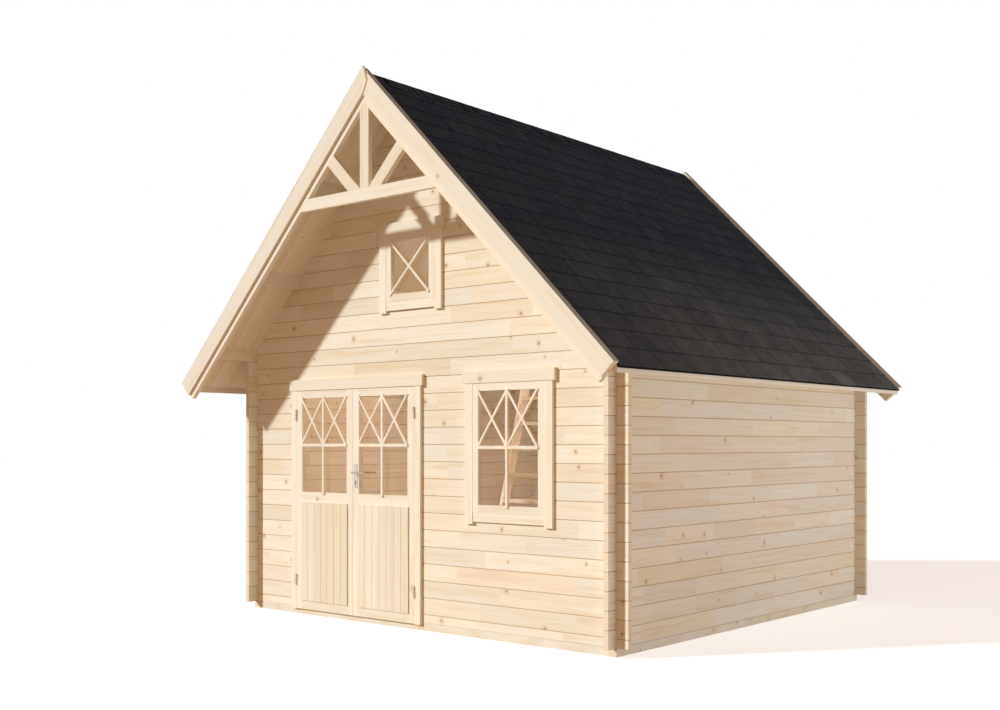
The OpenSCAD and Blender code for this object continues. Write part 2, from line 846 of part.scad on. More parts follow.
module loft_boards() {
    color(shade_pine)
        box([-in_w + cut_gap, loft_front_y, loft_top_z - loft_board_t + fit],
            [in_w - cut_gap, in_back_y - cut_gap, loft_top_z]);
}

// Two leaning stringers with flat treads between them
module ladder() {
    lean = tan(ladder_lean);
    level = tread_d/cos(ladder_lean);
    back_top = loft_front_y - fit;
    top_z = loft_top_z + 70;
    function back(z) = back_top + (z - loft_top_z)*lean;
    treads = floor((loft_top_z - floor_z - tread_rise/2)/tread_rise);
    half = ladder_w/2;
    color(pine) translate([ladder_x, 0, 0]) {
        for (s = [-1, 1]) mirrored(s) along_x(half - tread_t, half)
            polygon([[back(floor_z) - level, floor_z + fit], [back(floor_z), floor_z + fit],
                [back(top_z), top_z], [back(top_z) - level, top_z]]);
        for (i = [1:treads]) {
            z = floor_z + i*tread_rise;
            box([-half + tread_t + fit, back(z) - level, z - tread_t],
                [half - tread_t - fit, back(z - tread_t) - 2, z]);
        }
    }
}

floor_bearers();
floor_boards();
side_wall_left();
side_wall_right();
wall_plates();
back_wall();
front_wall_left();
front_wall_right();
front_wall_pier();
front_wall_end();
front_gable();
purlins();
ridge_purlin();
roof_boards_left();
roof_boards_right();
roofing_left();
roofing_right();
ridge_cap();
bargeboard_front_left();
bargeboard_front_right();
bargeboards_rear();
verge_rafters_front();
verge_rafters_rear();
tie_beam();
king_post();
struts();
eave_boards();
loft_joists();
loft_boards();
ladder();
door_frame();
door_casing();
door_leaf_left();
door_leaf_right();
door_pane_left();
door_pane_right();
hinge_pins();
hinge_knuckles_left();
hinge_knuckles_right();
lock_plates();
door_lever();
window_frame();
window_sash();
window_pane();
gable_window_frame();
gable_window_sash();
gable_window_pane();
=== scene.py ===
import bpy
import bmesh
import math
from mathutils import Matrix, Vector


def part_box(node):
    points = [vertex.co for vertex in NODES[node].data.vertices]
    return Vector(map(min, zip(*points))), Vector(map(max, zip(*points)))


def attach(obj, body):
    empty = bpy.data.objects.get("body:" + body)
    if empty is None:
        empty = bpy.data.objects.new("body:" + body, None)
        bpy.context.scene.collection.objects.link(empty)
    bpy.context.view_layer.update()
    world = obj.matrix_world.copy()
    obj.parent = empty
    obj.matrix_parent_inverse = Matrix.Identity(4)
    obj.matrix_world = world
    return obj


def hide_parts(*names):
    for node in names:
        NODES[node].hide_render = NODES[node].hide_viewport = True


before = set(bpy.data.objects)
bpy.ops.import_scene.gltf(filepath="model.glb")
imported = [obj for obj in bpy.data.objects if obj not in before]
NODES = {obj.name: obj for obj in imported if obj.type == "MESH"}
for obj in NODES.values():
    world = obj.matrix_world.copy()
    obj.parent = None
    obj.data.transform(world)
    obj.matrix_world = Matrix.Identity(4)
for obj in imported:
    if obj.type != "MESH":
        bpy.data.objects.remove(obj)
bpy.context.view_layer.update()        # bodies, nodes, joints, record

# ---------------------------------------------------------------- sizes
# Lengths are in metres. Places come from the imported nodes.
PITCH = math.radians(45.2)          # slope of the roof
COS, SIN, TAN = math.cos(PITCH), math.sin(PITCH), math.tan(PITCH)
LOG_H = 0.133                       # height that a log shows
JOINT = 0.0035                      # half the height of the V joint between logs
TOOTH = 0.004                       # half the height of a tooth in a log's finger joints
GROWTH = 0.0052                     # width of a year's growth in the wood
BEARER_W = 0.0602                   # bearers under the side walls
VERGE_STEP = 0.0385                 # depth in which each timber of a verge gets its own grain
LADDER_SIDE = 0.0281                # thickness of the ladder's sides
RUNG_STEP = 0.225                   # from rung to rung
RAIL_STEP = 0.62                    # height in which each rail of a leaf gets its own grain
BARGE_W = 0.139                     # width of the bargeboards
FELT_T = 0.0015                     # felt on the top edges of the verges
LEAF_GAP = 0.005                    # between a leaf and the casing
PANEL_OUT = 0.003                   # from the front of a leaf's box to the face of its stiles
DOOR_CROSS, WINDOW_CROSS = 1.450, 1.435                 # height of the level glazing bars
LEVEL_BAR, UPRIGHT_BAR, SLANT_BAR, GABLE_BAR = 0.025, 0.024, 0.0195, 0.0200         # their widths
BAR_OUT, BAR_BEVEL = 0.010, 0.0025  # height of the bars above their sash, and their bevelled edges
BAR_SLOPE = 0.8                     # how far a bar's end slopes back, as a share of that height
COURSES = 17                        # courses of shingles on a slope
TAB = 0.300                         # usual width of a shingle's tab

GROUND_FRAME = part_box("floor_bearers")
BASE_Z, HALF_W = round(GROUND_FRAME[1].z, 3), GROUND_FRAME[1].x
FRONT_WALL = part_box("front_wall_pier")
FRONT_Y, BACK_Y = FRONT_WALL[0].y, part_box("back_wall")[1].y
LOG_T = FRONT_WALL[1].y - FRONT_Y
ROOFING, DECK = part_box("roofing_right"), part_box("roof_boards_right")
EXPOSURE = (ROOFING[1].x - ROOFING[0].x) / COS / COURSES
LEAF_LEFT, LEAF_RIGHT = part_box("door_leaf_left"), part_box("door_leaf_right")
LEAF_LOW, LEAF_TOP, LEAF_FACE = LEAF_LEFT[0].z, LEAF_LEFT[1].z, LEAF_LEFT[0].y + PANEL_OUT
DOOR_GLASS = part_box("door_pane_left")
STILE = DOOR_GLASS[0].x - LEAF_LEFT[0].x
WINDOW_GLASS, WINDOW_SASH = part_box("window_pane"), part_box("window_sash")
GABLE_GLASS, GABLE_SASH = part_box("gable_window_pane"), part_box("gable_window_sash")
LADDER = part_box("ladder")


def lin(r, g, b):
    """A colour written as eight-bit display values, as Blender wants it."""
    def one(c):
        c = c / 255
        return c / 12.92 if c <= 0.04045 else ((c + 0.055) / 1.055) ** 2.4
    return (one(r), one(g), one(b), 1.0)


# ---------------------------------------------------------------- node sheets
def arithmetic(operation, swapped=False):
    """A method of Wire that adds a Math node. swapped puts the other value first."""
    def method(self, *others):
        values = (self, *others)
        return self.sheet.math(operation, *(values[::-1] if swapped else values))
    return method


class Wire:
    """A socket in a sheet of nodes. Arithmetic on it adds Math nodes."""

    def __init__(self, sheet, socket):
        self.sheet, self.socket = sheet, socket

    __add__ = __radd__ = arithmetic("ADD")
    __sub__, __rsub__ = arithmetic("SUBTRACT"), arithmetic("SUBTRACT", swapped=True)
    __mul__ = __rmul__ = arithmetic("MULTIPLY")
    __truediv__, __pow__ = arithmetic("DIVIDE"), arithmetic("POWER")
    above, below = arithmetic("GREATER_THAN"), arithmetic("LESS_THAN")
    floor, size = arithmetic("FLOOR"), arithmetic("ABSOLUTE")


class Sheet:
    """A tree of shader or geometry nodes."""

    def __init__(self, tree):
        self.tree = tree

    def node(self, kind, settings=None, inputs=None, out=0):
        """Adds a node with its settings and the values or links of its sockets. A socket that
        takes several links is given a list of them."""
        made = self.tree.nodes.new(kind)
        for name, value in (settings or {}).items():
            setattr(made, name, value)
        for name, value in (inputs or {}).items():
            for item in value if isinstance(value, list) else [value]:
                if isinstance(item, Wire):
                    self.tree.links.new(item.socket, made.inputs[name])
                else:
                    made.inputs[name].default_value = item
        return Wire(self, made.outputs[out]) if made.outputs else None

    def other(self, wire, name):
        """Another output of the node that a wire leaves."""
        return Wire(self, wire.socket.node.outputs[name])

    def math(self, operation, *values):
        return self.node("ShaderNodeMath", {"operation": operation}, dict(enumerate(values)))

    def either(self, a, b):
        return self.math("MAXIMUM", a, b)

    def pick(self, choice, if_no, if_yes):
        """if_no where choice is 0 and if_yes where it is 1, on numbers."""
        return if_no + choice * (if_yes - if_no)

    def vector(self, x=0.0, y=0.0, z=0.0):
        return self.node("ShaderNodeCombineXYZ", None, {0: x, 1: y, 2: z})

    def parts(self, vector):
        split = self.node("ShaderNodeSeparateXYZ", None, {0: vector})
        return [self.other(split, axis) for axis in "XYZ"]

    def seen_by_camera(self):
        """1 on rays from the camera, also on those that come by way of gloss or glass."""
        path = self.node("ShaderNodeLightPath")
        gloss, glass = self.other(path, "Is Glossy Ray"), self.other(path, "Is Transmission Ray")
        return self.either(self.either(self.other(path, "Is Camera Ray"), gloss), glass)


class Finish(Sheet):
    """A material. x, y and z are a place in the piece's own coordinates, and nx, ny and nz are the
    way that its face looks."""

    def __init__(self, name):
        self.material = bpy.data.materials.new(name)
        self.material.use_nodes = True
        super().__init__(self.material.node_tree)
        self.tree.nodes.clear()
        coordinates = self.node("ShaderNodeTexCoord")
        self.place = self.other(coordinates, "Object")
        self.x, self.y, self.z = self.parts(self.place)
        self.nx, self.ny, self.nz = self.parts(self.other(coordinates, "Normal"))

    def noise(self, vector, scale, detail=2.0, roughness=0.5):
        return self.node("ShaderNodeTexNoise", None, {
            "Vector": vector, "Scale": scale, "Detail": detail, "Roughness": roughness})

    def chance(self, x=0.0, y=0.0, z=0.0):
        """Three random numbers that go with three steps."""
        return self.parts(self.node("ShaderNodeTexWhiteNoise", {"noise_dimensions": "3D"},
                                    {"Vector": self.vector(x, y, z)}, out=1))

    def ease(self, value, low, high, to_low=0.0, to_high=1.0):
        return self.node("ShaderNodeMapRange", {"interpolation_type": "SMOOTHSTEP"}, {
            0: value, 1: low, 2: high, 3: to_low, 4: to_high})

    def blend(self, share, a, b):
        return self.node("ShaderNodeMix", {"data_type": "RGBA", "clamp_factor": True},
                         {0: share, 6: a, 7: b}, out=2)

    def brighten(self, colour, share):
        return self.node("ShaderNodeVectorMath", {"operation": "SCALE"}, {0: colour, "Scale": share})

    def attribute(self, name):
        return self.node("ShaderNodeAttribute", {"attribute_name": name}, out=2)

    def bump(self, height, depth, strength):
        return self.node("ShaderNodeBump", None, {"Height": height, "Distance": depth, "Strength": strength})

    def show(self, shader):
        self.node("ShaderNodeOutputMaterial", None, {"Surface": shader})
        return self.material

    def surface(self, colour, roughness, normal, shine=0.22, metallic=0.0):
        return self.show(self.node("ShaderNodeBsdfPrincipled", None, {
            "Base Color": colour, "Roughness": roughness, "Normal": normal, "Specular IOR Level": shine,
            "Metallic": metallic}))


# ---------------------------------------------------------------- spruce
PALE = lin(249, 247, 237)       # early wood
WARM = lin(245, 232, 202)       # boards that have yellowed
ROSY = lin(247, 237, 221)       # boards with a touch of red
LATE = lin(225, 196, 155)       # late wood, the lines of the grain
KNOT = lin(176, 124, 78)
KNOT_HEART = lin(146, 104, 68)
END = lin(250, 240, 222)        # across the fibres
END_RING = lin(216, 184, 144)
END_CHECK = lin(200, 164, 122)  # fine cracks across the fibres
# Painted shade down in the V joints between logs
V_JOINT_SHADE = lin(200, 171, 134)     # down in a joint


def spruce(f, along, across, depth, lot, end, tone=1.0, figure=1.0, knots=0.42, groove=None, warmth=0.65):
    """Planed spruce. along, across and depth are places in metres, lot is three random numbers for
    the board, and end is 1 on a face cut across the fibres."""
    a, b, c = lot
    # The pith wanders beside the board, so that the rings round it draw the grain
    drift = f.noise(f.vector(along * 0.45 + a * 53.0, b * 17.0, c * 5.0), 1.0, 1.0)
    cup = f.noise(f.vector(along * 0.30 + b * 71.0, a * 29.0, 4.0 + c * 7.0), 1.0, 1.0)
    side = across + (drift - 0.5) * 0.10 + (a - 0.5) * 0.06
    deep = depth + 0.045 + (cup - 0.5) * 0.07 + b * 0.02
    ripple = f.noise(f.vector(along * 2.5 + a * 11.0, across * 16.0 + b * 7.0, depth * 16.0), 1.0, 2.0)
    radius = (side * side + deep * deep) ** 0.5 + ripple * 0.006
    ring = f.math("SINE", radius * (2 * math.pi / GROWTH))
    line = f.ease(ring, 0.1, 1.0)
    streak = f.noise(f.vector(along * 1.1 + c * 41.0, across * 26.0 + a * 19.0, depth * 26.0), 1.0, 3.0, 0.6)
    fibre = f.noise(f.vector(along * 9.0 + b * 23.0, across * 420.0, depth * 420.0), 1.0, 2.0, 0.6)
    # Knots, one to a cell and left out of most
    spot = f.node("ShaderNodeTexVoronoi", {"voronoi_dimensions": "2D"}, {
        "Vector": f.vector(along * 3.0 + a * 37.0 + c * 11.0, across * 3.0 + b * 31.0), "Scale": 1.0,
        "Randomness": 0.95})
    draw = f.parts(f.other(spot, "Color"))
    wide = draw[1] * 0.026 + 0.021
    there = draw[0].below(knots)
    knot = there * f.ease(spot, wide * 1.1, wide * 0.45)
    halo = there * f.ease(spot, wide * 3.2, wide)
    heart = there * f.ease(spot, wide * 0.35, 0.0)
    colour = f.blend(b * b * warmth + f.ease(streak, 0.42, 0.75) * 0.35, PALE, WARM)
    colour = f.blend(f.ease(a, 0.72, 0.82) * 0.6, colour, ROSY)
    colour = f.blend((line * 0.20 + f.ease(streak, 0.50, 0.80) * 0.34) * figure, colour, LATE)
    colour = f.blend(halo * 0.45, colour, LATE)
    colour = f.blend(knot * 0.66, colour, KNOT)
    colour = f.blend(heart * 0.45, colour, KNOT_HEART)
    check = f.noise(f.vector(across * 55.0 + a * 9.0, depth * 55.0 + b * 3.0, c * 3.0), 1.0, 3.0, 0.7)
    cut = f.blend(f.ease(ring, -0.4, 0.9) * 0.35, END, END_RING)
    cut = f.blend(f.ease(check, 0.56, 0.70) * 0.30, cut, END_CHECK)
    colour = f.blend(end, colour, cut)
    # Painted shade down in a log's V joint
    if groove is not None:
        colour = f.blend(groove * 0.85, colour, V_JOINT_SHADE)
    colour = f.brighten(colour, (0.930 + c * 0.10) * (0.98 + fibre * 0.04) * tone)
    rough = 0.52 + streak * 0.16 + end * 0.14
    height = fibre * 0.5 + line * 0.35 - knot * 0.3 + end * check
    return colour, rough, f.bump(height, 0.0006, 0.35)


def cut_face(f, along):
    """1 on faces cut across the fibres. along is the part of a face's normal that follows them."""
    return f.ease(along.size(), 0.75, 0.92)


def toward(f, x=0.0, y=0.0, z=0.0):
    """1 on faces that look along the given way or against it."""
    return cut_face(f, f.nx * x + f.ny * y + f.nz * z)


def on_slope(f, turn=1.0):
    """Places along and across a timber that follows the roof's slope, on either side."""
    side = f.x.size()
    return side * COS - f.z * (SIN * turn), side * (SIN * turn) + f.z * COS


def slope_cut(f, turn=1.0):
    """1 on the ends of such a timber."""
    way = f.x.above(0.0) * 2.0 - 1.0
    return cut_face(f, f.nx * way * COS - f.nz * (SIN * turn))


def between(value, low, high):
    return value.above(low) * value.below(high)


def logs(name, start, lay):
    """Walls of logs. The first course starts at start, in courses under the top of the bearers, and
    lay(f) gives the places along and into a wall, its number and the faces cut across."""
    f = Finish(name)
    along, depth, wall, end = lay(f)
    level = (f.z - BASE_Z) / LOG_H + start
    course = level.floor()
    local = (level - course - 0.5) * LOG_H
    groove = f.ease(local.size(), LOG_H / 2 - JOINT * 1.15, LOG_H / 2 - JOINT * 0.4)
    # Each length of a finger-jointed log has its own grain
    row = f.chance(course * 1.7 + 3.1, wall * 5.3 + 1.2, 7.7)
    teeth = f.math("PINGPONG", f.z, TOOTH) * 1.2
    piece = ((along + teeth + row[1] * 3.0) / (row[0] * 0.60 + 0.60)).floor()
    lot = f.chance(piece + 0.5, course + 0.5, wall * 3.0 + 0.5)
    return f.surface(*spruce(f, along, local, depth, lot, end, groove=groove))


def lay_across(f):
    """Front and back walls: the logs run along X."""
    wall = f.y.above(0.0)
    middle = f.pick(wall, FRONT_Y + LOG_T / 2, BACK_Y - LOG_T / 2)
    return f.x, f.y - middle, wall, toward(f, x=1.0)


def lay_deep(f):
    """Side walls: the logs run along Y."""
    return f.y, f.x.size() - (HALF_W - LOG_T / 2), f.x.above(0.0) + 4.0, toward(f, y=1.0)


def sloped(name, turn=1.0, **look):
    """Timbers that run up the slope (turn 1) or square to it (turn -1). Their pith is far off, so
    that the grain runs straight."""
    f = Finish(name)
    along, across = on_slope(f, turn)
    lot = f.chance(f.x.above(0.0) * 3.0 + 0.5, (f.y / VERGE_STEP).floor(), turn * 2.0)
    return f.surface(*spruce(f, along, across - 1.5, f.y, lot, slope_cut(f, turn), **look))


def upright(name, **look):
    """Timbers along Z."""
    f = Finish(name)
    lot = f.chance((f.x * 6.0).floor(), (f.y * 3.0).floor(), 3.3)
    return f.surface(*spruce(f, f.z, f.x, f.y, lot, toward(f, z=1.0), **look))


def level_across(name, **look):
    """Timbers along X. Their pith is far off too."""
    f = Finish(name)
    lot = f.chance((f.y * 3.0).floor(), (f.z * 5.0).floor(), 5.3)
    return f.surface(*spruce(f, f.x, f.z - 1.0, f.y, lot, toward(f, x=1.0), **look))


def level_deep(name, **look):
    """Timbers along Y."""
    f = Finish(name)
    lot = f.chance((f.x * 3.0).floor(), (f.z * 4.0).floor(), 1.3)
    return f.surface(*spruce(f, f.y, f.x, f.z, lot, toward(f, y=1.0), **look))


def framed(name, rails, lots, **look):
    """Upright timbers with level ones between them. rails(f) is 1 on the level ones and lots(f)
    gives two steps that tell the timbers apart."""
    f = Finish(name)
    rail = rails(f)
    p, q = lots(f)
    lot = f.chance(p * (1.0 - rail) + 0.5, q * rail + 0.5, rail * 4.0 + 0.5)
    return f.surface(*spruce(f, f.pick(rail, f.z, f.x), f.pick(rail, f.x, f.z), f.y, lot,
                             cut_face(f, f.pick(rail, f.nz, f.nx)), **look))


def bearers():
    """Bearers under the side walls run along Y, and the ones between them along X."""
    f = Finish("spruce_bearers")
    edge = f.x.size().above(HALF_W - BEARER_W)
    lot = f.chance(f.x.above(0.0) * edge + 0.5, (f.y * 2.0).floor() * (1.0 - edge), edge)
    return f.surface(*spruce(f, f.pick(edge, f.x, f.y), f.z, f.pick(edge, f.y, f.x), lot,
                             cut_face(f, f.pick(edge, f.nx, f.ny)), tone=0.95))


def board_finish(name, way, **look):
    """Boards laid side by side, each with its own number in the attribute board."""
    f = Finish(name)
    number = f.attribute("board")
    lot = f.chance(number * 91.0, number * 37.0, 2.0)
    if way == "slope":
        run, out = on_slope(f)
        along, across, depth, end = run, f.y, out, slope_cut(f)
    elif way == "deep":
        along, across, depth, end = f.y, f.x, f.z, toward(f, y=1.0)
    else:
        along, across, depth, end = f.z, f.x, f.y, toward(f, z=1.0)
    return f.surface(*spruce(f, along, across, depth * 0.2, lot, end, **look))


def bar_finish():
    """Slim bars that run any way, too short for knots and with no ends to be seen."""
    f = Finish("spruce_bars")
    lot = f.chance((f.x * 9.0).floor(), (f.y * 2.0).floor(), (f.z * 2.0).floor())
    return f.surface(*spruce(f, f.x * 0.7 + f.z * 0.7, f.x * 0.7 - f.z * 0.7, f.y, lot, 0.0,
                             tone=1.03, knots=0.0, figure=0.5, warmth=0.3))


# ---------------------------------------------------------------- other finishes
SLATE = lin(31, 37, 48)         # grit of the shingles
SHEET = lin(15, 17, 22)         # grit of the sheet under them
FELT = lin(188, 186, 184)       # grit of the felt on the verges
TAB_EDGE = lin(17, 18, 21)
GREY_GRIT = lin(58, 58, 60)
PALE_CHIP = lin(92, 92, 95)
# Paler, warmer tint of the tabs towards the eaves
EAVE_TINT = lin(87, 92, 94)
ZINC_WHITE, ALUMINIUM, BRUSHED_STEEL = lin(236, 226, 206), lin(224, 219, 212), lin(200, 186, 170)
# The last of these is painted shade, for the back of the keyholes
WORN_METAL, NICKEL, KEYHOLE_SHADE = lin(158, 148, 134), lin(112, 104, 96), lin(34, 31, 29)


def bitumen(name, base, tabs=False):
    """Stone grit on bitumen. Tabs have a shade each, a paler, warmer tint towards the eaves and black cut
    edges.
    """
    f = Finish(name)
    grit = f.noise(f.place, 900.0, 2.0, 0.7)
    specks = f.node("ShaderNodeTexVoronoi", None, {"Vector": f.place, "Scale": 420.0})
    chip = f.parts(f.other(specks, "Color"))
    cloud = f.noise(f.place, 3.2, 3.0, 0.55)
    light = 0.72 + f.ease(grit, 0.35, 0.7) * 0.20 + chip[0] * 0.24 + (cloud - 0.5) * 0.55
    down = f.x.size() / COS
    if tabs:
        # Paler and warmer towards the eaves, less so at the front
        eave_tint = f.ease(down, 1.4, 3.5) * f.ease(f.y, -2.6, 0.2, 0.45, 1.0)
        base = f.blend(eave_tint * (0.55 + cloud * 0.7), base, EAVE_TINT)
        number = f.attribute("tab")
        lot = f.chance(number * 77.0, number * 13.0, 1.0)
        wear = f.noise(f.vector(down * 13.0, f.y * 7.0, number * 31.0), 1.0, 4.0, 0.65)
        light = light * (0.53 + lot[0] * 0.34 + wear * 1.1)
        base = f.blend(lot[1] * 0.18, base, GREY_GRIT)
    colour = f.blend(chip[1].above(0.86) * 0.35, base, PALE_CHIP)
    if tabs:
        colour = f.blend((f.nx.size() * SIN + f.nz * COS).above(0.9), TAB_EDGE, colour)
        # Painted shadow: the grit is darker just below the edge of the course above
        step = down / EXPOSURE
        light = light * (1.0 - f.ease(step - step.floor(), 0.07, 0.0) * 0.35)
    return f.surface(f.brighten(colour, light), 0.80 + chip[2] * 0.16,
                     f.bump(grit + chip[0] * 0.6, 0.0008, 0.5), shine=0.04)


def clear_glass():
    f = Finish("clear_glass")
    film = f.noise(f.place, 6.0, 2.0)
    turned = f.node("ShaderNodeLayerWeight", None, {"Blend": 0.5}, out=1)
    gloss = 0.035 + (turned ** 5.0) * 0.9
    through = f.node("ShaderNodeBsdfTransparent", None, {"Color": (0.95, 0.965, 0.955, 1.0)})
    mirror = f.node("ShaderNodeBsdfGlossy", None, {"Color": (0.9, 0.92, 0.93, 1.0), "Roughness": 0.02})
    return f.show(f.node("ShaderNodeMixShader", None, {0: gloss * (0.9 + film * 0.2), 1: through, 2: mirror}))


def metal(name, colour, rough, grain, worn, rings=0.0):
    """grain is how fine the brushing is, and rings is the spacing of fine turned grooves round
    upright pieces, or 0. Screws keep the place of their slots in the attribute slot."""
    f = Finish(name)
    brushed = f.noise(f.vector(f.x * grain, f.y * grain, f.z * 35.0), 1.0, 3.0, 0.6)
    cloud = f.noise(f.place, 60.0, 3.0)
    shade = f.brighten(f.blend(f.ease(cloud, 0.4, 0.7) * worn, colour, WORN_METAL), 0.92 + brushed * 0.16)
    # Painted shade darkens the screws' slots
    shade = f.brighten(shade, 1.0 - f.attribute("slot") * 0.85)
    height = brushed
    if rings:
        # Painted shade down in each groove, besides the bump
        turn = f.z / rings
        cut = f.ease((turn - turn.floor() - 0.5).size(), 0.34, 0.46)
        shade = f.brighten(shade, 1.0 - cut * 0.34)
        height = brushed - cut * 3.0
    return f.surface(shade, rough + brushed * 0.14, f.bump(height, 0.0002, 0.25), shine=0.5, metallic=0.7)


# ---------------------------------------------------------------- geometry trees
class Layout(Sheet):
    """A tree of geometry nodes with named inputs, the last two of them Seed and Finish."""

    KINDS = {float: "NodeSocketFloat", int: "NodeSocketInt", bpy.types.Material: "NodeSocketMaterial"}

    def __init__(self, name, **inputs):
        super().__init__(bpy.data.node_groups.new(name, "GeometryNodeTree"))
        face = self.tree.interface
        face.new_socket("Geometry", in_out="OUTPUT", socket_type="NodeSocketGeometry")
        face.new_socket("Spots", in_out="INPUT", socket_type="NodeSocketGeometry")
        self.sockets = {}
        for label, kind in {**inputs, "Seed": int, "Finish": bpy.types.Material}.items():
            made = face.new_socket(label, in_out="INPUT", socket_type=self.KINDS[kind])
            self.sockets[label] = made.identifier
        self.source = self.node("NodeGroupInput").socket.node

    def given(self, label):
        return Wire(self, self.source.outputs[label])

    def close(self, instances):
        solid = self.node("GeometryNodeRealizeInstances", None, {0: instances})
        done = self.node("GeometryNodeSetMaterial", None, {
            "Geometry": solid, "Material": self.given("Finish")})
        self.node("NodeGroupOutput", None, {0: done})
        return self

    def keep(self, geometry, domain, name, value):
        """Stores a number on each element, to be read again with kept."""
        return self.node("GeometryNodeStoreNamedAttribute", {"data_type": "FLOAT", "domain": domain}, {
            "Geometry": geometry, "Name": name, "Value": value})

    def kept(self, name):
        return self.node("GeometryNodeInputNamedAttribute", {"data_type": "FLOAT"}, {"Name": name})

    def random(self, low, high, seed, number=None):
        """A random number from low to high for each element, or for each value of number."""
        inputs = {2: low, 3: high, "Seed": seed}
        if number is not None:
            inputs["ID"] = number
        return self.node("FunctionNodeRandomValue", {"data_type": "FLOAT"}, inputs, out=1)

    def moved(self, geometry, x=0.0, y=0.0, z=0.0):
        """Geometry with its points moved, each by its own values."""
        return self.node("GeometryNodeSetPosition", None, {
            "Geometry": geometry, "Offset": self.vector(x, y, z)})

    def set_on(self, points, piece, **settings):
        return self.node("GeometryNodeInstanceOnPoints", None, {
            "Points": points, "Instance": piece, **settings})

    def make(self, name, body, finish, slot, move=None, spots=None, **values):
        """Runs the tree and makes a piece with a plain mesh, placed by the matrix move. spots are
        points for the tree to use."""
        host = bpy.data.objects.new(name, bpy.data.meshes.new(name))
        host.data.from_pydata(spots or [], [], [])
        bpy.context.scene.collection.objects.link(host)
        lay = host.modifiers.new("lay", "NODES")
        lay.node_group = self.tree
        for label, value in {**values, "Finish": finish}.items():
            lay[self.sockets[label]] = value
        bpy.context.view_layer.update()
        seen = host.evaluated_get(bpy.context.evaluated_depsgraph_get())
        mesh = bpy.data.meshes.new_from_object(seen)
        mesh.shade_flat()
        host.modifiers.clear()
        host.data = mesh
        mesh.name = name
        if move is not None:
            mesh.transform(move)
            if move.determinant() < 0:
                mesh.flip_normals()
        mesh.update()
        settle(host, body, finish)
        return host


def boards_layout():
    """Boards side by side along X, each running along Y, with bevelled edges and their top at z = 0."""
    g = Layout("laid_boards", Count=int, Pitch=float, Gap=float, Length=float, Thick=float, Bevel=float,
               Uneven=float)
    pitch, thick, seed = g.given("Pitch"), g.given("Thick"), g.given("Seed")
    section = g.node("GeometryNodeCurvePrimitiveQuadrilateral", None, {
        "Width": pitch - g.given("Gap"), "Height": thick})
    section = g.node("GeometryNodeFilletCurve", {"mode": "POLY"}, {
        "Curve": section, "Radius": g.given("Bevel"), "Count": 1})
    run = g.node("GeometryNodeCurvePrimitiveLine", None, {
        "Start": g.vector(), "End": g.vector(y=g.given("Length"))})
    board = g.node("GeometryNodeCurveToMesh", None, {
        "Curve": run, "Profile Curve": section, "Fill Caps": True})
    row = g.node("GeometryNodeMeshLine", None, {
        "Count": g.given("Count"), "Start Location": g.vector(pitch * 0.5, 0.0, thick * -0.5),
        "Offset": g.vector(pitch)})
    row = g.moved(row, z=g.random(0.0, g.given("Uneven"), seed) * -1.0)
    return g.close(g.keep(g.set_on(row, board), "INSTANCE", "board", g.random(0.0, 1.0, seed + 1.0)))


def shingles_layout():
    """Courses of bitumen tabs on a slope. X runs down the slope from the ridge, Y along the ridge and
    Z out of the roof. Joints between tabs stand at uneven places and break from course to course."""
    g = Layout("laid_shingles", Courses=int, Tabs=int, Exposure=float, Lap=float, Tab=float, Joint=float,
               Uneven=float, Depth=float, Thick=float, Lift=float)
    tabs, seed, exposure, lap = g.given("Tabs"), g.given("Seed"), g.given("Exposure"), g.given("Lap")
    length = exposure + lap
    points = g.node("GeometryNodeMeshLine", None, {"Count": tabs * g.given("Courses"), "Offset": g.vector()})
    index = g.node("GeometryNodeInputIndex")
    course = ((index + 0.5) / tabs).floor()
    column = index - course * tabs
    shift = g.random(-0.12, 0.12, seed + 5.0, course) + g.math("PINGPONG", course, 1.0) * 0.5

    def joint(place, number):
        """A joint at so many tabs from the front, put off at random and kept on the roof."""
        off = g.random(-0.5, 0.5, seed, number) * g.given("Uneven")
        return g.math("MINIMUM", g.math("MAXIMUM", place * g.given("Tab") + off, 0.0), g.given("Depth"))

    left = joint(column + shift - 1.0, column + course * 200.0)
    right = joint(column + shift, column + course * 200.0 + 1.0)
    # Sizes are kept on the points first, since taking out the narrow ones renumbers the rest
    sized = g.keep(points, "POINT", "wide", right - left - g.given("Joint"))
    sized = g.keep(sized, "POINT", "long", 1.0 - course.below(0.5) * (lap / length) * 1.02)
    sized = g.keep(sized, "POINT", "number", g.random(0.0, 1.0, seed + 2.0))
    ragged = g.random(-0.003, 0.0, seed + 9.0)
    places = g.node("GeometryNodeSetPosition", None, {
        "Geometry": sized,
        "Position": g.vector((course + 1.0) * exposure + ragged, (left + right) * 0.5, 0.0)})
    wide = g.kept("wide")
    places = g.node("GeometryNodeDeleteGeometry", {"domain": "POINT"}, {
        "Geometry": places, "Selection": wide.below(0.02)})
    sheet = g.node("GeometryNodeMeshCube", None, {"Size": g.vector(length, 1.0, g.given("Thick"))})
    sheet = g.moved(sheet, length * -0.5, 0.0, g.given("Thick") * 0.5)
    # A tab lies on the one below it, so its lower edge is lifted
    px = g.parts(g.node("GeometryNodeInputPosition"))[0]
    sheet = g.moved(sheet, z=(px / length + 1.0) * g.given("Lift"))
    laid = g.set_on(places, sheet, Scale=g.vector(g.kept("long"), wide, 1.0))
    return g.close(g.keep(laid, "INSTANCE", "tab", g.kept("number")))


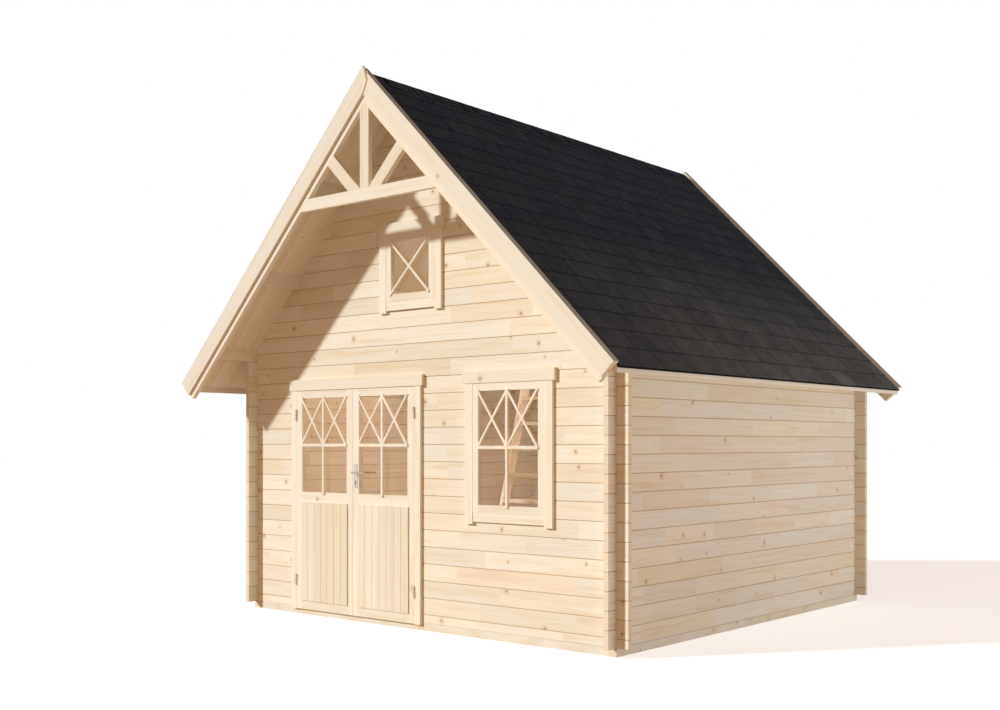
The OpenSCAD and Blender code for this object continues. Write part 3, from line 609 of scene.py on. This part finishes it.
def ridge_layout():
    """Bent tabs that lap each other along the ridge, each higher at its open end. They lie along +Y."""
    g = Layout("laid_ridge_tabs", Count=int, Exposure=float, Length=float, Wing=float, Slope=float,
               Thick=float, Lift=float)
    length, seed = g.given("Length"), g.given("Seed")
    sheet = g.node("GeometryNodeMeshCube", None, {
        "Size": g.vector(g.given("Wing") * 2.0, length, g.given("Thick")), "Vertices X": 7})
    px, py = g.parts(g.node("GeometryNodeInputPosition"))[:2]
    fall = (px * px + 0.00006) ** 0.5 * g.given("Slope")
    rise = (0.5 - py / length) * g.given("Lift")
    sheet = g.moved(sheet, z=rise - fall)
    row = g.node("GeometryNodeMeshLine", None, {
        "Count": g.given("Count"), "Offset": g.vector(y=g.given("Exposure"))})
    off = g.random(-0.004, 0.004, seed)
    laid = g.set_on(g.moved(row, off, off * 0.6), sheet)
    return g.close(g.keep(laid, "INSTANCE", "tab", g.random(0.0, 1.0, seed + 2.0)))


def screws_layout():
    """Slotted screw heads on given spots, which face -Y in front of the plane Middle and +Y behind it."""
    g = Layout("set_screws", Middle=float, Radius=float, Proud=float)
    radius, proud = g.given("Radius"), g.given("Proud")
    head = g.node("GeometryNodeMeshCone", None, {
        "Vertices": 14, "Radius Top": radius * 0.72, "Radius Bottom": radius, "Depth": proud})
    head = g.keep(head, "POINT", "slot", 0.0)
    # The slot is a thin bar on the head, which the finish darkens as painted shade
    slot = g.node("GeometryNodeMeshCube", None, {"Size": g.vector(radius * 1.25, radius * 0.24, proud * 0.1)})
    slot = g.keep(g.moved(slot, z=proud), "POINT", "slot", 1.0)
    both = g.node("GeometryNodeJoinGeometry", None, {0: [slot, head]})
    behind = g.parts(g.node("GeometryNodeInputPosition"))[1].above(g.given("Middle"))
    set_in = g.set_on(g.given("Spots"), both, Rotation=g.vector((1.0 - behind * 2.0) * (math.pi / 2)))
    return g.close(g.node("GeometryNodeRotateInstances", None, {
        "Instances": set_in, "Rotation": g.vector(z=g.random(0.0, math.pi, g.given("Seed")))}))


# ---------------------------------------------------------------- pieces
def settle(made, body, finish):
    """Gives a piece its one finish and its body."""
    made.data.materials.clear()
    made.data.materials.append(finish)
    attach(made, body)


def part(name, body, finish, bm):
    """A piece from a bmesh, which is used up."""
    bmesh.ops.recalc_face_normals(bm, faces=bm.faces)
    mesh = bpy.data.meshes.new(name)
    bm.to_mesh(mesh)
    bm.free()
    made = bpy.data.objects.new(name, mesh)
    bpy.context.scene.collection.objects.link(made)
    settle(made, body, finish)


def skin(bm, near, far):
    """A solid between two rings of points, with a flat face over each."""
    for i in range(len(near)):
        bm.faces.new((near[i - 1], near[i], far[i], far[i - 1]))
    bm.faces.new(near[::-1])
    bm.faces.new(far)


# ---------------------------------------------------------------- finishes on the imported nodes
def dress(finish, *names):
    for name in names:
        node = NODES[name]
        if not node.material_slots:
            node.data.materials.append(finish)
        for place in node.material_slots:
            place.link = "OBJECT"
            place.material = finish


def halves(f, left, right):
    """0 on the left of the middle between two places across, and 2 on its right."""
    return f.x.above((left + right) / 2) * 2.0


def leaf_finish(name, leaf):
    left, right = leaf[0].x + STILE, leaf[1].x - STILE
    return framed(name, lambda f: between(f.x, left, right),
                  lambda f: (halves(f, left, right), (f.z / RAIL_STEP).floor()), figure=0.8, knots=0.10)


def sash_finish(name, sash, glass):
    low, high = sash
    return framed(name, lambda f: between(f.x, glass[0].x, glass[1].x),
                  lambda f: (halves(f, low.x, high.x), f.z.above((low.z + high.z) / 2)),
                  tone=0.99, figure=0.8, knots=0.06)


def casing_finish(name, head_z, foot_z, left, right):
    return framed(name,
                  lambda f: f.either(f.z.above(head_z), between(f.x, left, right) * f.z.below(foot_z)),
                  lambda f: (halves(f, left, right), f.z.below(foot_z)),
                  tone=1.01, figure=0.8, knots=0.12)


def window_frame_finish(name, sash):
    low, high = sash
    return casing_finish(name, high.z, low.z + 0.001, low.x - 0.0005, high.x + 0.0005)


def ladder_finish():
    left, right = LADDER[0].x, LADDER[1].x
    return framed("spruce_ladder", lambda f: between(f.x, left + LADDER_SIDE, right - LADDER_SIDE),
                  lambda f: (halves(f, left, right), (f.z / RUNG_STEP).floor()), tone=0.99, knots=0.1)


ZINC = metal("zinc_plate", ZINC_WHITE, rough=0.52, grain=90.0, worn=0.35, rings=0.0155)
STEEL = metal("brushed_steel", BRUSHED_STEEL, rough=0.45, grain=600.0, worn=0.2)

dress(logs("spruce_logs_across", 0.5, lay_across), "back_wall", "front_wall_left", "front_wall_right",
      "front_wall_pier", "front_wall_end", "front_gable")
dress(logs("spruce_logs_deep", 0.0, lay_deep), "side_wall_left", "side_wall_right", "wall_plates")
dress(sloped("spruce_verges", tone=1.01, figure=0.75, knots=0.10), "bargeboard_front_left",
      "bargeboard_front_right", "bargeboards_rear", "verge_rafters_front", "verge_rafters_rear")
dress(sloped("spruce_struts", turn=-1.0, figure=0.8, knots=0.05), "struts")
dress(level_across("spruce_tie_beam", tone=1.01, figure=0.8, knots=0.15), "tie_beam")
dress(upright("spruce_king_post", tone=1.01, figure=0.8, knots=0.05), "king_post")
dress(level_deep("spruce_eave_boards", figure=0.9, knots=0.25), "eave_boards")
dress(level_deep("spruce_purlins", tone=0.97), "purlins", "ridge_purlin")
dress(level_across("spruce_joists", tone=0.96), "loft_joists")
dress(casing_finish("spruce_door_casing", LEAF_TOP + LEAF_GAP, 0.0, LEAF_LEFT[0].x, LEAF_RIGHT[1].x),
      "door_casing", "door_frame")
dress(window_frame_finish("spruce_window_frame", WINDOW_SASH), "window_frame")
dress(window_frame_finish("spruce_gable_window_frame", GABLE_SASH), "gable_window_frame")
dress(leaf_finish("spruce_left_leaf", LEAF_LEFT), "door_leaf_left")
dress(leaf_finish("spruce_right_leaf", LEAF_RIGHT), "door_leaf_right")
dress(sash_finish("spruce_window_sash", WINDOW_SASH, WINDOW_GLASS), "window_sash")
dress(sash_finish("spruce_gable_sash", GABLE_SASH, GABLE_GLASS), "gable_window_sash")
dress(bearers(), "floor_bearers")
dress(ladder_finish(), "ladder")
dress(bitumen("bitumen_sheet", SHEET), "roofing_left", "roofing_right", "ridge_cap")
dress(clear_glass(), "door_pane_left", "door_pane_right", "window_pane", "gable_window_pane")
dress(ZINC, "hinge_pins", "hinge_knuckles_left", "hinge_knuckles_right")
dress(STEEL, "door_lever")
dress(metal("satin_aluminium", ALUMINIUM, rough=0.42, grain=600.0, worn=0.15), "lock_plates")

# ---------------------------------------------------------------- boards
LAID = boards_layout()
# The roof boards' extra yellowing is partly their own tone and partly painted warm light bounced into the
# shaded soffit
DECK_BOARDS = board_finish("spruce_roof_boards", "slope", tone=0.98, knots=0.35, warmth=2.0)
FLOOR_BOARDS = board_finish("spruce_floor_boards", "deep", tone=0.93, knots=0.35)
PANEL_BOARDS = board_finish("spruce_panel_boards", "up", tone=0.985, knots=0.08, warmth=0.9)


def slope_place(side, box, x_down):
    """From a flat layout to the slope on side 1 or -1, at the front end of the ridge. The layout's
    X runs down the slope if x_down is true, and else along the ridge."""
    low, high = box
    down, along, out = (COS * side, 0, -SIN), (0, 1, 0), (SIN * side, 0, COS)
    axes = (down, along, out) if x_down else (along, down, out)
    place = Matrix(axes).transposed().to_4x4()
    place.translation = (low.x * side, low.y, high.z)
    return place


def roof_boards(side, name, node):
    """Boards that run down a slope, over the node that they stand for."""
    low, high = DECK
    count = 44
    thick = (high.z - low.z - (high.x - low.x) * TAN) * COS
    made = LAID.make(name, "house", DECK_BOARDS, "boards", slope_place(side, DECK, False), Count=count,
                     Pitch=(high.y - low.y) / count, Gap=0.0006, Length=(high.x - low.x) / COS,
                     Thick=thick, Bevel=0.0035, Uneven=0.0003, Seed=11 + side)
    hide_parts(node)


def flat_boards(name, node, seed):
    """Boards that run from front to back, over the node that they stand for."""
    low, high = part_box(node)
    count = 34
    place = Matrix.Translation((low.x, low.y, high.z))
    made = LAID.make(name, "house", FLOOR_BOARDS, "boards", place, Count=count,
                     Pitch=(high.x - low.x) / count, Gap=0.0006, Length=high.y - low.y,
                     Thick=high.z - low.z, Bevel=0.002, Uneven=0.0003, Seed=seed)
    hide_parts(node)


def panel_boards(name, leaf, body, seed):
    """Upright boards in the lower field of a leaf, laid on the thin panel of its node. They run on
    over the edge of the right-hand stile."""
    over_stile, bottom_rail, middle_rail = 0.0155, 0.075, 0.0873
    left, right = leaf[0].x + STILE, leaf[1].x - STILE + over_stile
    low, high = LEAF_LOW + bottom_rail, DOOR_GLASS[0].z - middle_rail
    count = 7
    face = leaf[0].y - 0.0070
    place = Matrix(((1, 0, 0, left), (0, 0, -1, face), (0, 1, 0, low), (0, 0, 0, 1)))
    LAID.make(name, body, PANEL_BOARDS, "joinery", place, Count=count, Pitch=(right - left) / count,
              Gap=0.0008, Length=high - low, Thick=0.0098, Bevel=0.0020, Uneven=0.0002, Seed=seed)


roof_boards(1, "deck_boards_right", "roof_boards_right")
roof_boards(-1, "deck_boards_left", "roof_boards_left")
flat_boards("floor_planks", "floor_boards", 31)
flat_boards("loft_planks", "loft_boards", 47)
panel_boards("panel_boards_left", LEAF_LEFT, "leaf_left", 5)
panel_boards("panel_boards_right", LEAF_RIGHT, "leaf_right", 23)

# ---------------------------------------------------------------- shingles
SHINGLE = bitumen("bitumen_shingles", SLATE, tabs=True)
TABS = shingles_layout()


def shingles(side, name):
    depth = ROOFING[1].y - ROOFING[0].y
    TABS.make(name, "house", SHINGLE, "roofing", slope_place(side, ROOFING, True), Courses=COURSES,
              Tabs=int(depth / TAB) + 3, Exposure=EXPOSURE, Lap=0.03, Tab=TAB, Joint=0.007, Uneven=0.11,
              Depth=depth, Thick=0.0026, Lift=0.0032, Seed=61 + side)


def ridge_tabs():
    low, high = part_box("ridge_cap")
    length = 0.125
    reach = high.y - low.y - length
    count = int(reach / 0.078) + 1
    place = Matrix.Translation((0, low.y + length / 2, high.z - 0.0012))
    ridge_layout().make("ridge_tabs", "house", SHINGLE, "roofing", place, Count=count,
                        Exposure=reach / (count - 1), Length=length, Wing=0.094, Slope=TAN, Thick=0.003,
                        Lift=0.0080, Seed=9)


shingles(1, "shingles_right")
shingles(-1, "shingles_left")
ridge_tabs()

# ---------------------------------------------------------------- glazing bars
BARS = bar_finish()


def bar_between(bm, p, q, width, front_y, back_y, edge):
    """A glazing bar from p to q, which are (x, z) on the middle of its face. Its front edges are
    bevelled, and its ends are cut back to a slope."""
    p, q = Vector(p), Vector(q)
    way = (q - p).normalized()
    side = Vector((-way.y, way.x))
    half = width / 2
    outline = [(-half, back_y), (-half, front_y + edge), (-half + edge, front_y), (half - edge, front_y),
               (half, front_y + edge), (half, back_y)]

    def ring(end, inward):
        spots = [(end + side * s + inward * (back_y - y) * BAR_SLOPE, y) for s, y in outline]
        return [bm.verts.new((spot.x, y, spot.y)) for spot, y in spots]

    skin(bm, ring(p, way), ring(q, -way))


def bars(name, body, face_y, lines):
    """Glazing bars planted on a sash or leaf. lines holds pairs of ends, (x, z), with the width."""
    bm = bmesh.new()
    for step, (p, q, width) in enumerate(lines):
        lift = 0.0006 * step        # crossing bars differ a little in thickness, so faces never fight
        bar_between(bm, p, q, width, face_y - BAR_OUT - lift, face_y - 0.0002, BAR_BEVEL)
    part(name, body, BARS, bm)


def crossed_bars(name, body, glass, face_y, cross, over, foot):
    """A level bar at the height cross, an upright one in the middle, and a crossing in each half
    above the level bar. foot is how far the upright one runs on below the glass."""
    (left, _, low), (right, _, high) = glass
    middle = (left + right) / 2
    lap_left, lap = 0.012, 0.014        # how far the other ends of the straight bars run on
    # Slanting bars run on past the corners of their half, by these shares of over
    past_side, past_foot, past_top = 0.4, 0.2, 0.6
    lines = []
    for a, b in ((left, middle), (middle, right)):
        way = Vector((b - a, high - cross)).normalized() * over
        ends = (a - way.x * past_side, b + way.x * past_side)
        for start, end in (ends, ends[::-1]):
            lines.append(((start, cross - way.y * past_foot), (end, high + way.y * past_top), SLANT_BAR))
    lines.append(((left - lap_left, cross), (right + lap, cross), LEVEL_BAR))
    lines.append(((middle, low - foot), (middle, high + lap), UPRIGHT_BAR))
    bars(name, body, face_y, lines)


def gable_bars():
    (left, _, low), (right, _, high) = GABLE_GLASS
    over = 0.012
    bars("gable_window_bars", "house", GABLE_SASH[0].y, [
        ((left - over, low - over), (right + over, high + over), GABLE_BAR),
        ((right + over, low - over), (left - over, high + over), GABLE_BAR)])


crossed_bars("door_bars_left", "leaf_left", DOOR_GLASS, LEAF_FACE, DOOR_CROSS, over=0.020, foot=0.025)
crossed_bars("door_bars_right", "leaf_right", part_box("door_pane_right"), LEAF_FACE, DOOR_CROSS,
             over=0.020, foot=0.025)
crossed_bars("window_bars", "house", WINDOW_GLASS, WINDOW_SASH[0].y, WINDOW_CROSS, over=0.016, foot=0.022)
gable_bars()

# ---------------------------------------------------------------- strips at the verges and the doors
FRONT_BOARD, REAR_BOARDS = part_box("bargeboard_front_right"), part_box("bargeboards_rear")
APEX_Z = FRONT_BOARD[0].z + BARGE_W * COS + FRONT_BOARD[1].x * TAN


def prisms(name, body, finish, slot, *shapes):
    """One piece made of prisms, each an outline of (x, z) with the two depths that it lies between."""
    bm = bmesh.new()
    for outline, *depths in shapes:
        skin(bm, *[[bm.verts.new((x, y, z)) for x, z in outline] for y in depths])
    part(name, body, finish, bm)


def on_verge(side, start):
    """Outline of the felt on a verge's top edge, from start to the eave, both out from the middle."""
    end = FRONT_BOARD[1].x + 0.001
    return [(side * start, APEX_Z - start * TAN), (side * end, APEX_Z - end * TAN),
            (side * (end + FELT_T * SIN), APEX_Z - end * TAN + FELT_T * COS),
            (side * start, APEX_Z - start * TAN + FELT_T / COS)]


def verge_strips():
    """Felt over the bargeboards and the rafters beside them. At the front each board's felt starts
    where the board reaches its crown."""
    felt = bitumen("verge_felt", FELT)
    board = (FRONT_BOARD[0].y - 0.0005, FRONT_BOARD[1].y)
    rafter = (FRONT_BOARD[1].y, ROOFING[0].y)
    rear = (ROOFING[1].y, REAR_BOARDS[1].y + 0.0005)
    left, right = [(APEX_Z - crown) / TAN for crown in (
        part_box("bargeboard_front_left")[1].z, FRONT_BOARD[1].z)]
    prisms("verge_felt_front", "house", felt, "roofing", (on_verge(-1, left), *board),
           (on_verge(-1, 0.0), *rafter), (on_verge(1, right), *board), (on_verge(1, 0.0), *rafter))
    prisms("verge_felt_rear", "house", felt, "roofing", (on_verge(-1, 0.0), *rear), (on_verge(1, 0.0), *rear))


def strip(x0, x1, z0=LEAF_LOW + 0.004, z1=LEAF_TOP):
    """A strip in a gap beside or over a leaf, a little behind its face."""
    front, back = LEAF_FACE + 0.0005, LEAF_FACE + 0.012
    return [(x0, z0), (x1, z0), (x1, z1), (x0, z1)], front, back


def draught_strips():
    """Strips on the frame, beside the leaves and over them."""
    left, right, top = LEAF_LEFT[0].x - LEAF_GAP, LEAF_RIGHT[1].x + LEAF_GAP, LEAF_TOP + LEAF_GAP
    wide, high = 0.0035, 0.003
    prisms("draught_strips", "house", BARS, "joinery", strip(left, left + wide),
           strip(right - wide, right), strip(left, right, top - high, top))


def meeting_strip():
    """The strip on the right leaf that covers most of the gap between the leaves."""
    edge, wide = LEAF_RIGHT[0].x, 0.005
    prisms("meeting_strip", "leaf_right", BARS, "joinery", strip(edge - wide, edge))


verge_strips()
draught_strips()
meeting_strip()

# ---------------------------------------------------------------- screws and keyhole
SCREWS = screws_layout()
PINS, PLATES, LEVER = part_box("hinge_pins"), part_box("lock_plates"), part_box("door_lever")
LEFT_KNUCKLES, RIGHT_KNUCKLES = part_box("hinge_knuckles_left"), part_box("hinge_knuckles_right")
LOW_HINGE = LEFT_KNUCKLES[0].z      # middle of the lower hinges
PIN_SHORT = 0.006                   # from the top of a hinge down to the end of its pin
HIGH_HINGE = PINS[1].z + PIN_SHORT - (LOW_HINGE - PINS[0].z)
WING_Y = PINS[1].y - 0.0025         # face of the hinges' wings
WING_EDGE = 0.0055                  # from a wing's edge to its screws
WING_STEPS = (0.012, 0.034)         # from the middle of a hinge up or down to its screws
PLATE_T = 0.003                     # thickness of a lock plate
PLATE_END = 0.010                   # from a plate's end to its screw
WING_HEAD, PLATE_HEAD = 0.0026, 0.0036                  # radius of the screws' heads
KEY_DROP = 0.076                    # from the lever's spindle down to the key
LOCK_X = (PLATES[0].x + PLATES[1].x) / 2
KEY_Z = (LEVER[0].z + LEVER[1].z) / 2 - KEY_DROP


def screws(name, body, finish, slot, spots, radius):
    SCREWS.make(name, body, finish, slot, None, spots, Middle=(LEAF_LEFT[0].y + LEAF_LEFT[1].y) / 2,
                Radius=radius, Proud=radius * 0.25, Seed=17)


def wing_screws(name, body, xs, way):
    """Two screws in each wing, above the middle of the hinges (way 1) or below it (way -1)."""
    spots = [(x, WING_Y, z + way * step) for x in xs for z in (LOW_HINGE, HIGH_HINGE) for step in WING_STEPS]
    screws(name, body, ZINC, "hinge_steel", spots, WING_HEAD)


def cylinder_faces():
    """Face of the lock's cylinder round each keyhole, with the slot for the key."""
    barrel, proud, thick = 0.0085, 0.0008, 0.0007
    bm = bmesh.new()
    turns = [math.radians(t) for t in range(-144, 145, 16)]
    outer = [(barrel * math.sin(t), barrel * math.cos(t)) for t in turns]
    outer += [(0.0050, -0.0225), (0.0030, -0.0245), (-0.0030, -0.0245), (-0.0050, -0.0225)]
    inner = [(0.0011, 0.0040), (0.0011, -0.0045), (-0.0011, -0.0045), (-0.0011, 0.0040)]
    for y, out in ((PLATES[0].y, -1), (PLATES[1].y, 1)):
        edges = []
        for loop in (outer, inner):
            ring = [bm.verts.new((LOCK_X + x, y + out * proud, KEY_Z + z)) for x, z in loop]
            edges += [bm.edges.new((ring[i], ring[i - 1])) for i in range(len(ring))]
        flat = bmesh.ops.triangle_fill(bm, use_beauty=True, edges=edges, normal=(0, out, 0))
        faces = [g for g in flat["geom"] if isinstance(g, bmesh.types.BMFace)]
        deep = bmesh.ops.extrude_face_region(bm, geom=faces)
        sunk = [g for g in deep["geom"] if isinstance(g, bmesh.types.BMVert)]
        bmesh.ops.translate(bm, verts=sunk, vec=(0, -out * thick, 0))
    nickel = metal("dull_nickel", NICKEL, rough=0.45, grain=500.0, worn=0.2)
    part("lock_cylinder", "leaf_right", nickel, bm)


def keyhole_shade_disc():
    """Painted shade: a dark disc behind each plate, which darkens the keyhole."""
    behind = PLATE_T + 0.00012
    bm = bmesh.new()
    for y in (PLATES[0].y + behind, PLATES[1].y - behind):
        spot = Matrix.Translation((LOCK_X, y, KEY_Z)) @ Matrix.Rotation(math.radians(90), 4, "X")
        bmesh.ops.create_cone(bm, cap_ends=True, segments=20, radius1=0.013, radius2=0.013, depth=0.0001,
                              matrix=spot)
    keyhole_dark = metal("oiled_iron", KEYHOLE_SHADE, rough=0.6, grain=300.0, worn=0.1)
    part("keyhole_shade_disc", "leaf_right", keyhole_dark, bm)


wing_screws("hinge_screws_left", "leaf_left", [LEFT_KNUCKLES[1].x - WING_EDGE], 1)
wing_screws("hinge_screws_right", "leaf_right", [RIGHT_KNUCKLES[0].x + WING_EDGE], 1)
wing_screws("hinge_screws_casing", "house", [PINS[0].x + WING_EDGE, PINS[1].x - WING_EDGE], -1)
screws("plate_screws", "leaf_right", STEEL, "furniture", [
    (LOCK_X, y, z) for y in (PLATES[0].y, PLATES[1].y)
    for z in (PLATES[0].z + PLATE_END, PLATES[1].z - PLATE_END)], PLATE_HEAD)
cylinder_faces()
keyhole_shade_disc()

# ---------------------------------------------------------------- stage
scene = bpy.context.scene
scene.view_settings.view_transform = "Standard"
WHITE = (1.0, 1.0, 1.0, 1.0)


def ground():
    """A floor that is pale to the camera and throws back the warm light of paving."""
    f = Finish("pale_floor")
    matt = f.node("ShaderNodeBsdfDiffuse", None, {"Color": (0.52, 0.36, 0.23, 1.0)})
    pale = f.node("ShaderNodeBsdfDiffuse", None, {"Color": (0.72, 0.72, 0.72, 1.0)})
    glow = f.node("ShaderNodeEmission", None, {"Color": WHITE, "Strength": 0.62})
    both = f.node("ShaderNodeAddShader", None, {0: pale, 1: glow})
    mesh = bpy.data.meshes.new("floor")
    size = 90.0
    mesh.from_pydata([(-size, -size, 0), (size, -size, 0), (size, size, 0), (-size, size, 0)], [],
                     [(0, 1, 2, 3)])
    mesh.materials.append(
        f.show(f.node("ShaderNodeMixShader", None, {0: f.seen_by_camera(), 1: matt, 2: both})))
    made = bpy.data.objects.new("floor", mesh)
    scene.collection.objects.link(made)
    made.location.z = -0.0005


def sky():
    """White to the camera, and a warm fill on everything else."""
    scene.world = bpy.data.worlds.new("studio")
    scene.world.use_nodes = True
    s = Sheet(scene.world.node_tree)
    s.tree.nodes.clear()
    fill = s.node("ShaderNodeBackground", None, {"Color": (1.0, 0.65, 0.43, 1.0), "Strength": 0.35})
    white = s.node("ShaderNodeBackground", None, {"Color": WHITE, "Strength": 1.0})
    mixed = s.node("ShaderNodeMixShader", None, {0: s.seen_by_camera(), 1: fill, 2: white})
    s.node("ShaderNodeOutputWorld", None, {"Surface": mixed})


def lamp(name, kind, energy, colour, place=(0, 0, 0), travel=(0, 0, -1), **settings):
    """travel is the way that the lamp's light goes."""
    data = bpy.data.lights.new(name, kind)
    data.energy, data.color = energy, colour
    for key, value in settings.items():
        setattr(data, key, value)
    made = bpy.data.objects.new(name, data)
    scene.collection.objects.link(made)
    made.location = place
    made.rotation_euler = Vector(travel).to_track_quat("-Z", "Y").to_euler()
    made.visible_camera = made.visible_glossy = made.visible_transmission = False


ground()
sky()
lamp("key", "SUN", 2.80, (0.972, 1.0, 0.978), travel=(0.735, 1.0, -0.565), angle=math.radians(3.6))
lamp("side", "AREA", 272.0, (0.865, 0.945, 1.0), (9.5, 2.8, 0.8), (-1.0, -0.1, 0.12),
     shape="RECTANGLE", size=8.0, size_y=0.8)
lamp("room", "AREA", 20.5, (1.0, 0.685, 0.51), (0.0, -0.95, 2.9), shape="RECTANGLE", size=2.3, size_y=1.1)
lamp("loft", "POINT", 8.4, (1.0, 0.67, 0.47), (0.0, 0.2, 3.1), shadow_soft_size=0.25)
lamp("under_loft", "POINT", 20.5, (1.0, 0.67, 0.51), (0.6, 0.9, 1.75), shadow_soft_size=0.2)

camera = bpy.data.objects.new("camera", bpy.data.cameras.new("camera"))
scene.collection.objects.link(camera)
camera.location = (6.665, -8.581, 1.467)
camera.rotation_euler = (math.radians(90), 0, math.radians(40.27))
camera.data.sensor_width = 36.0
camera.data.lens = 43.24
camera.data.shift_y = 0.0882
camera.data.clip_end = 300.0
scene.camera = camera
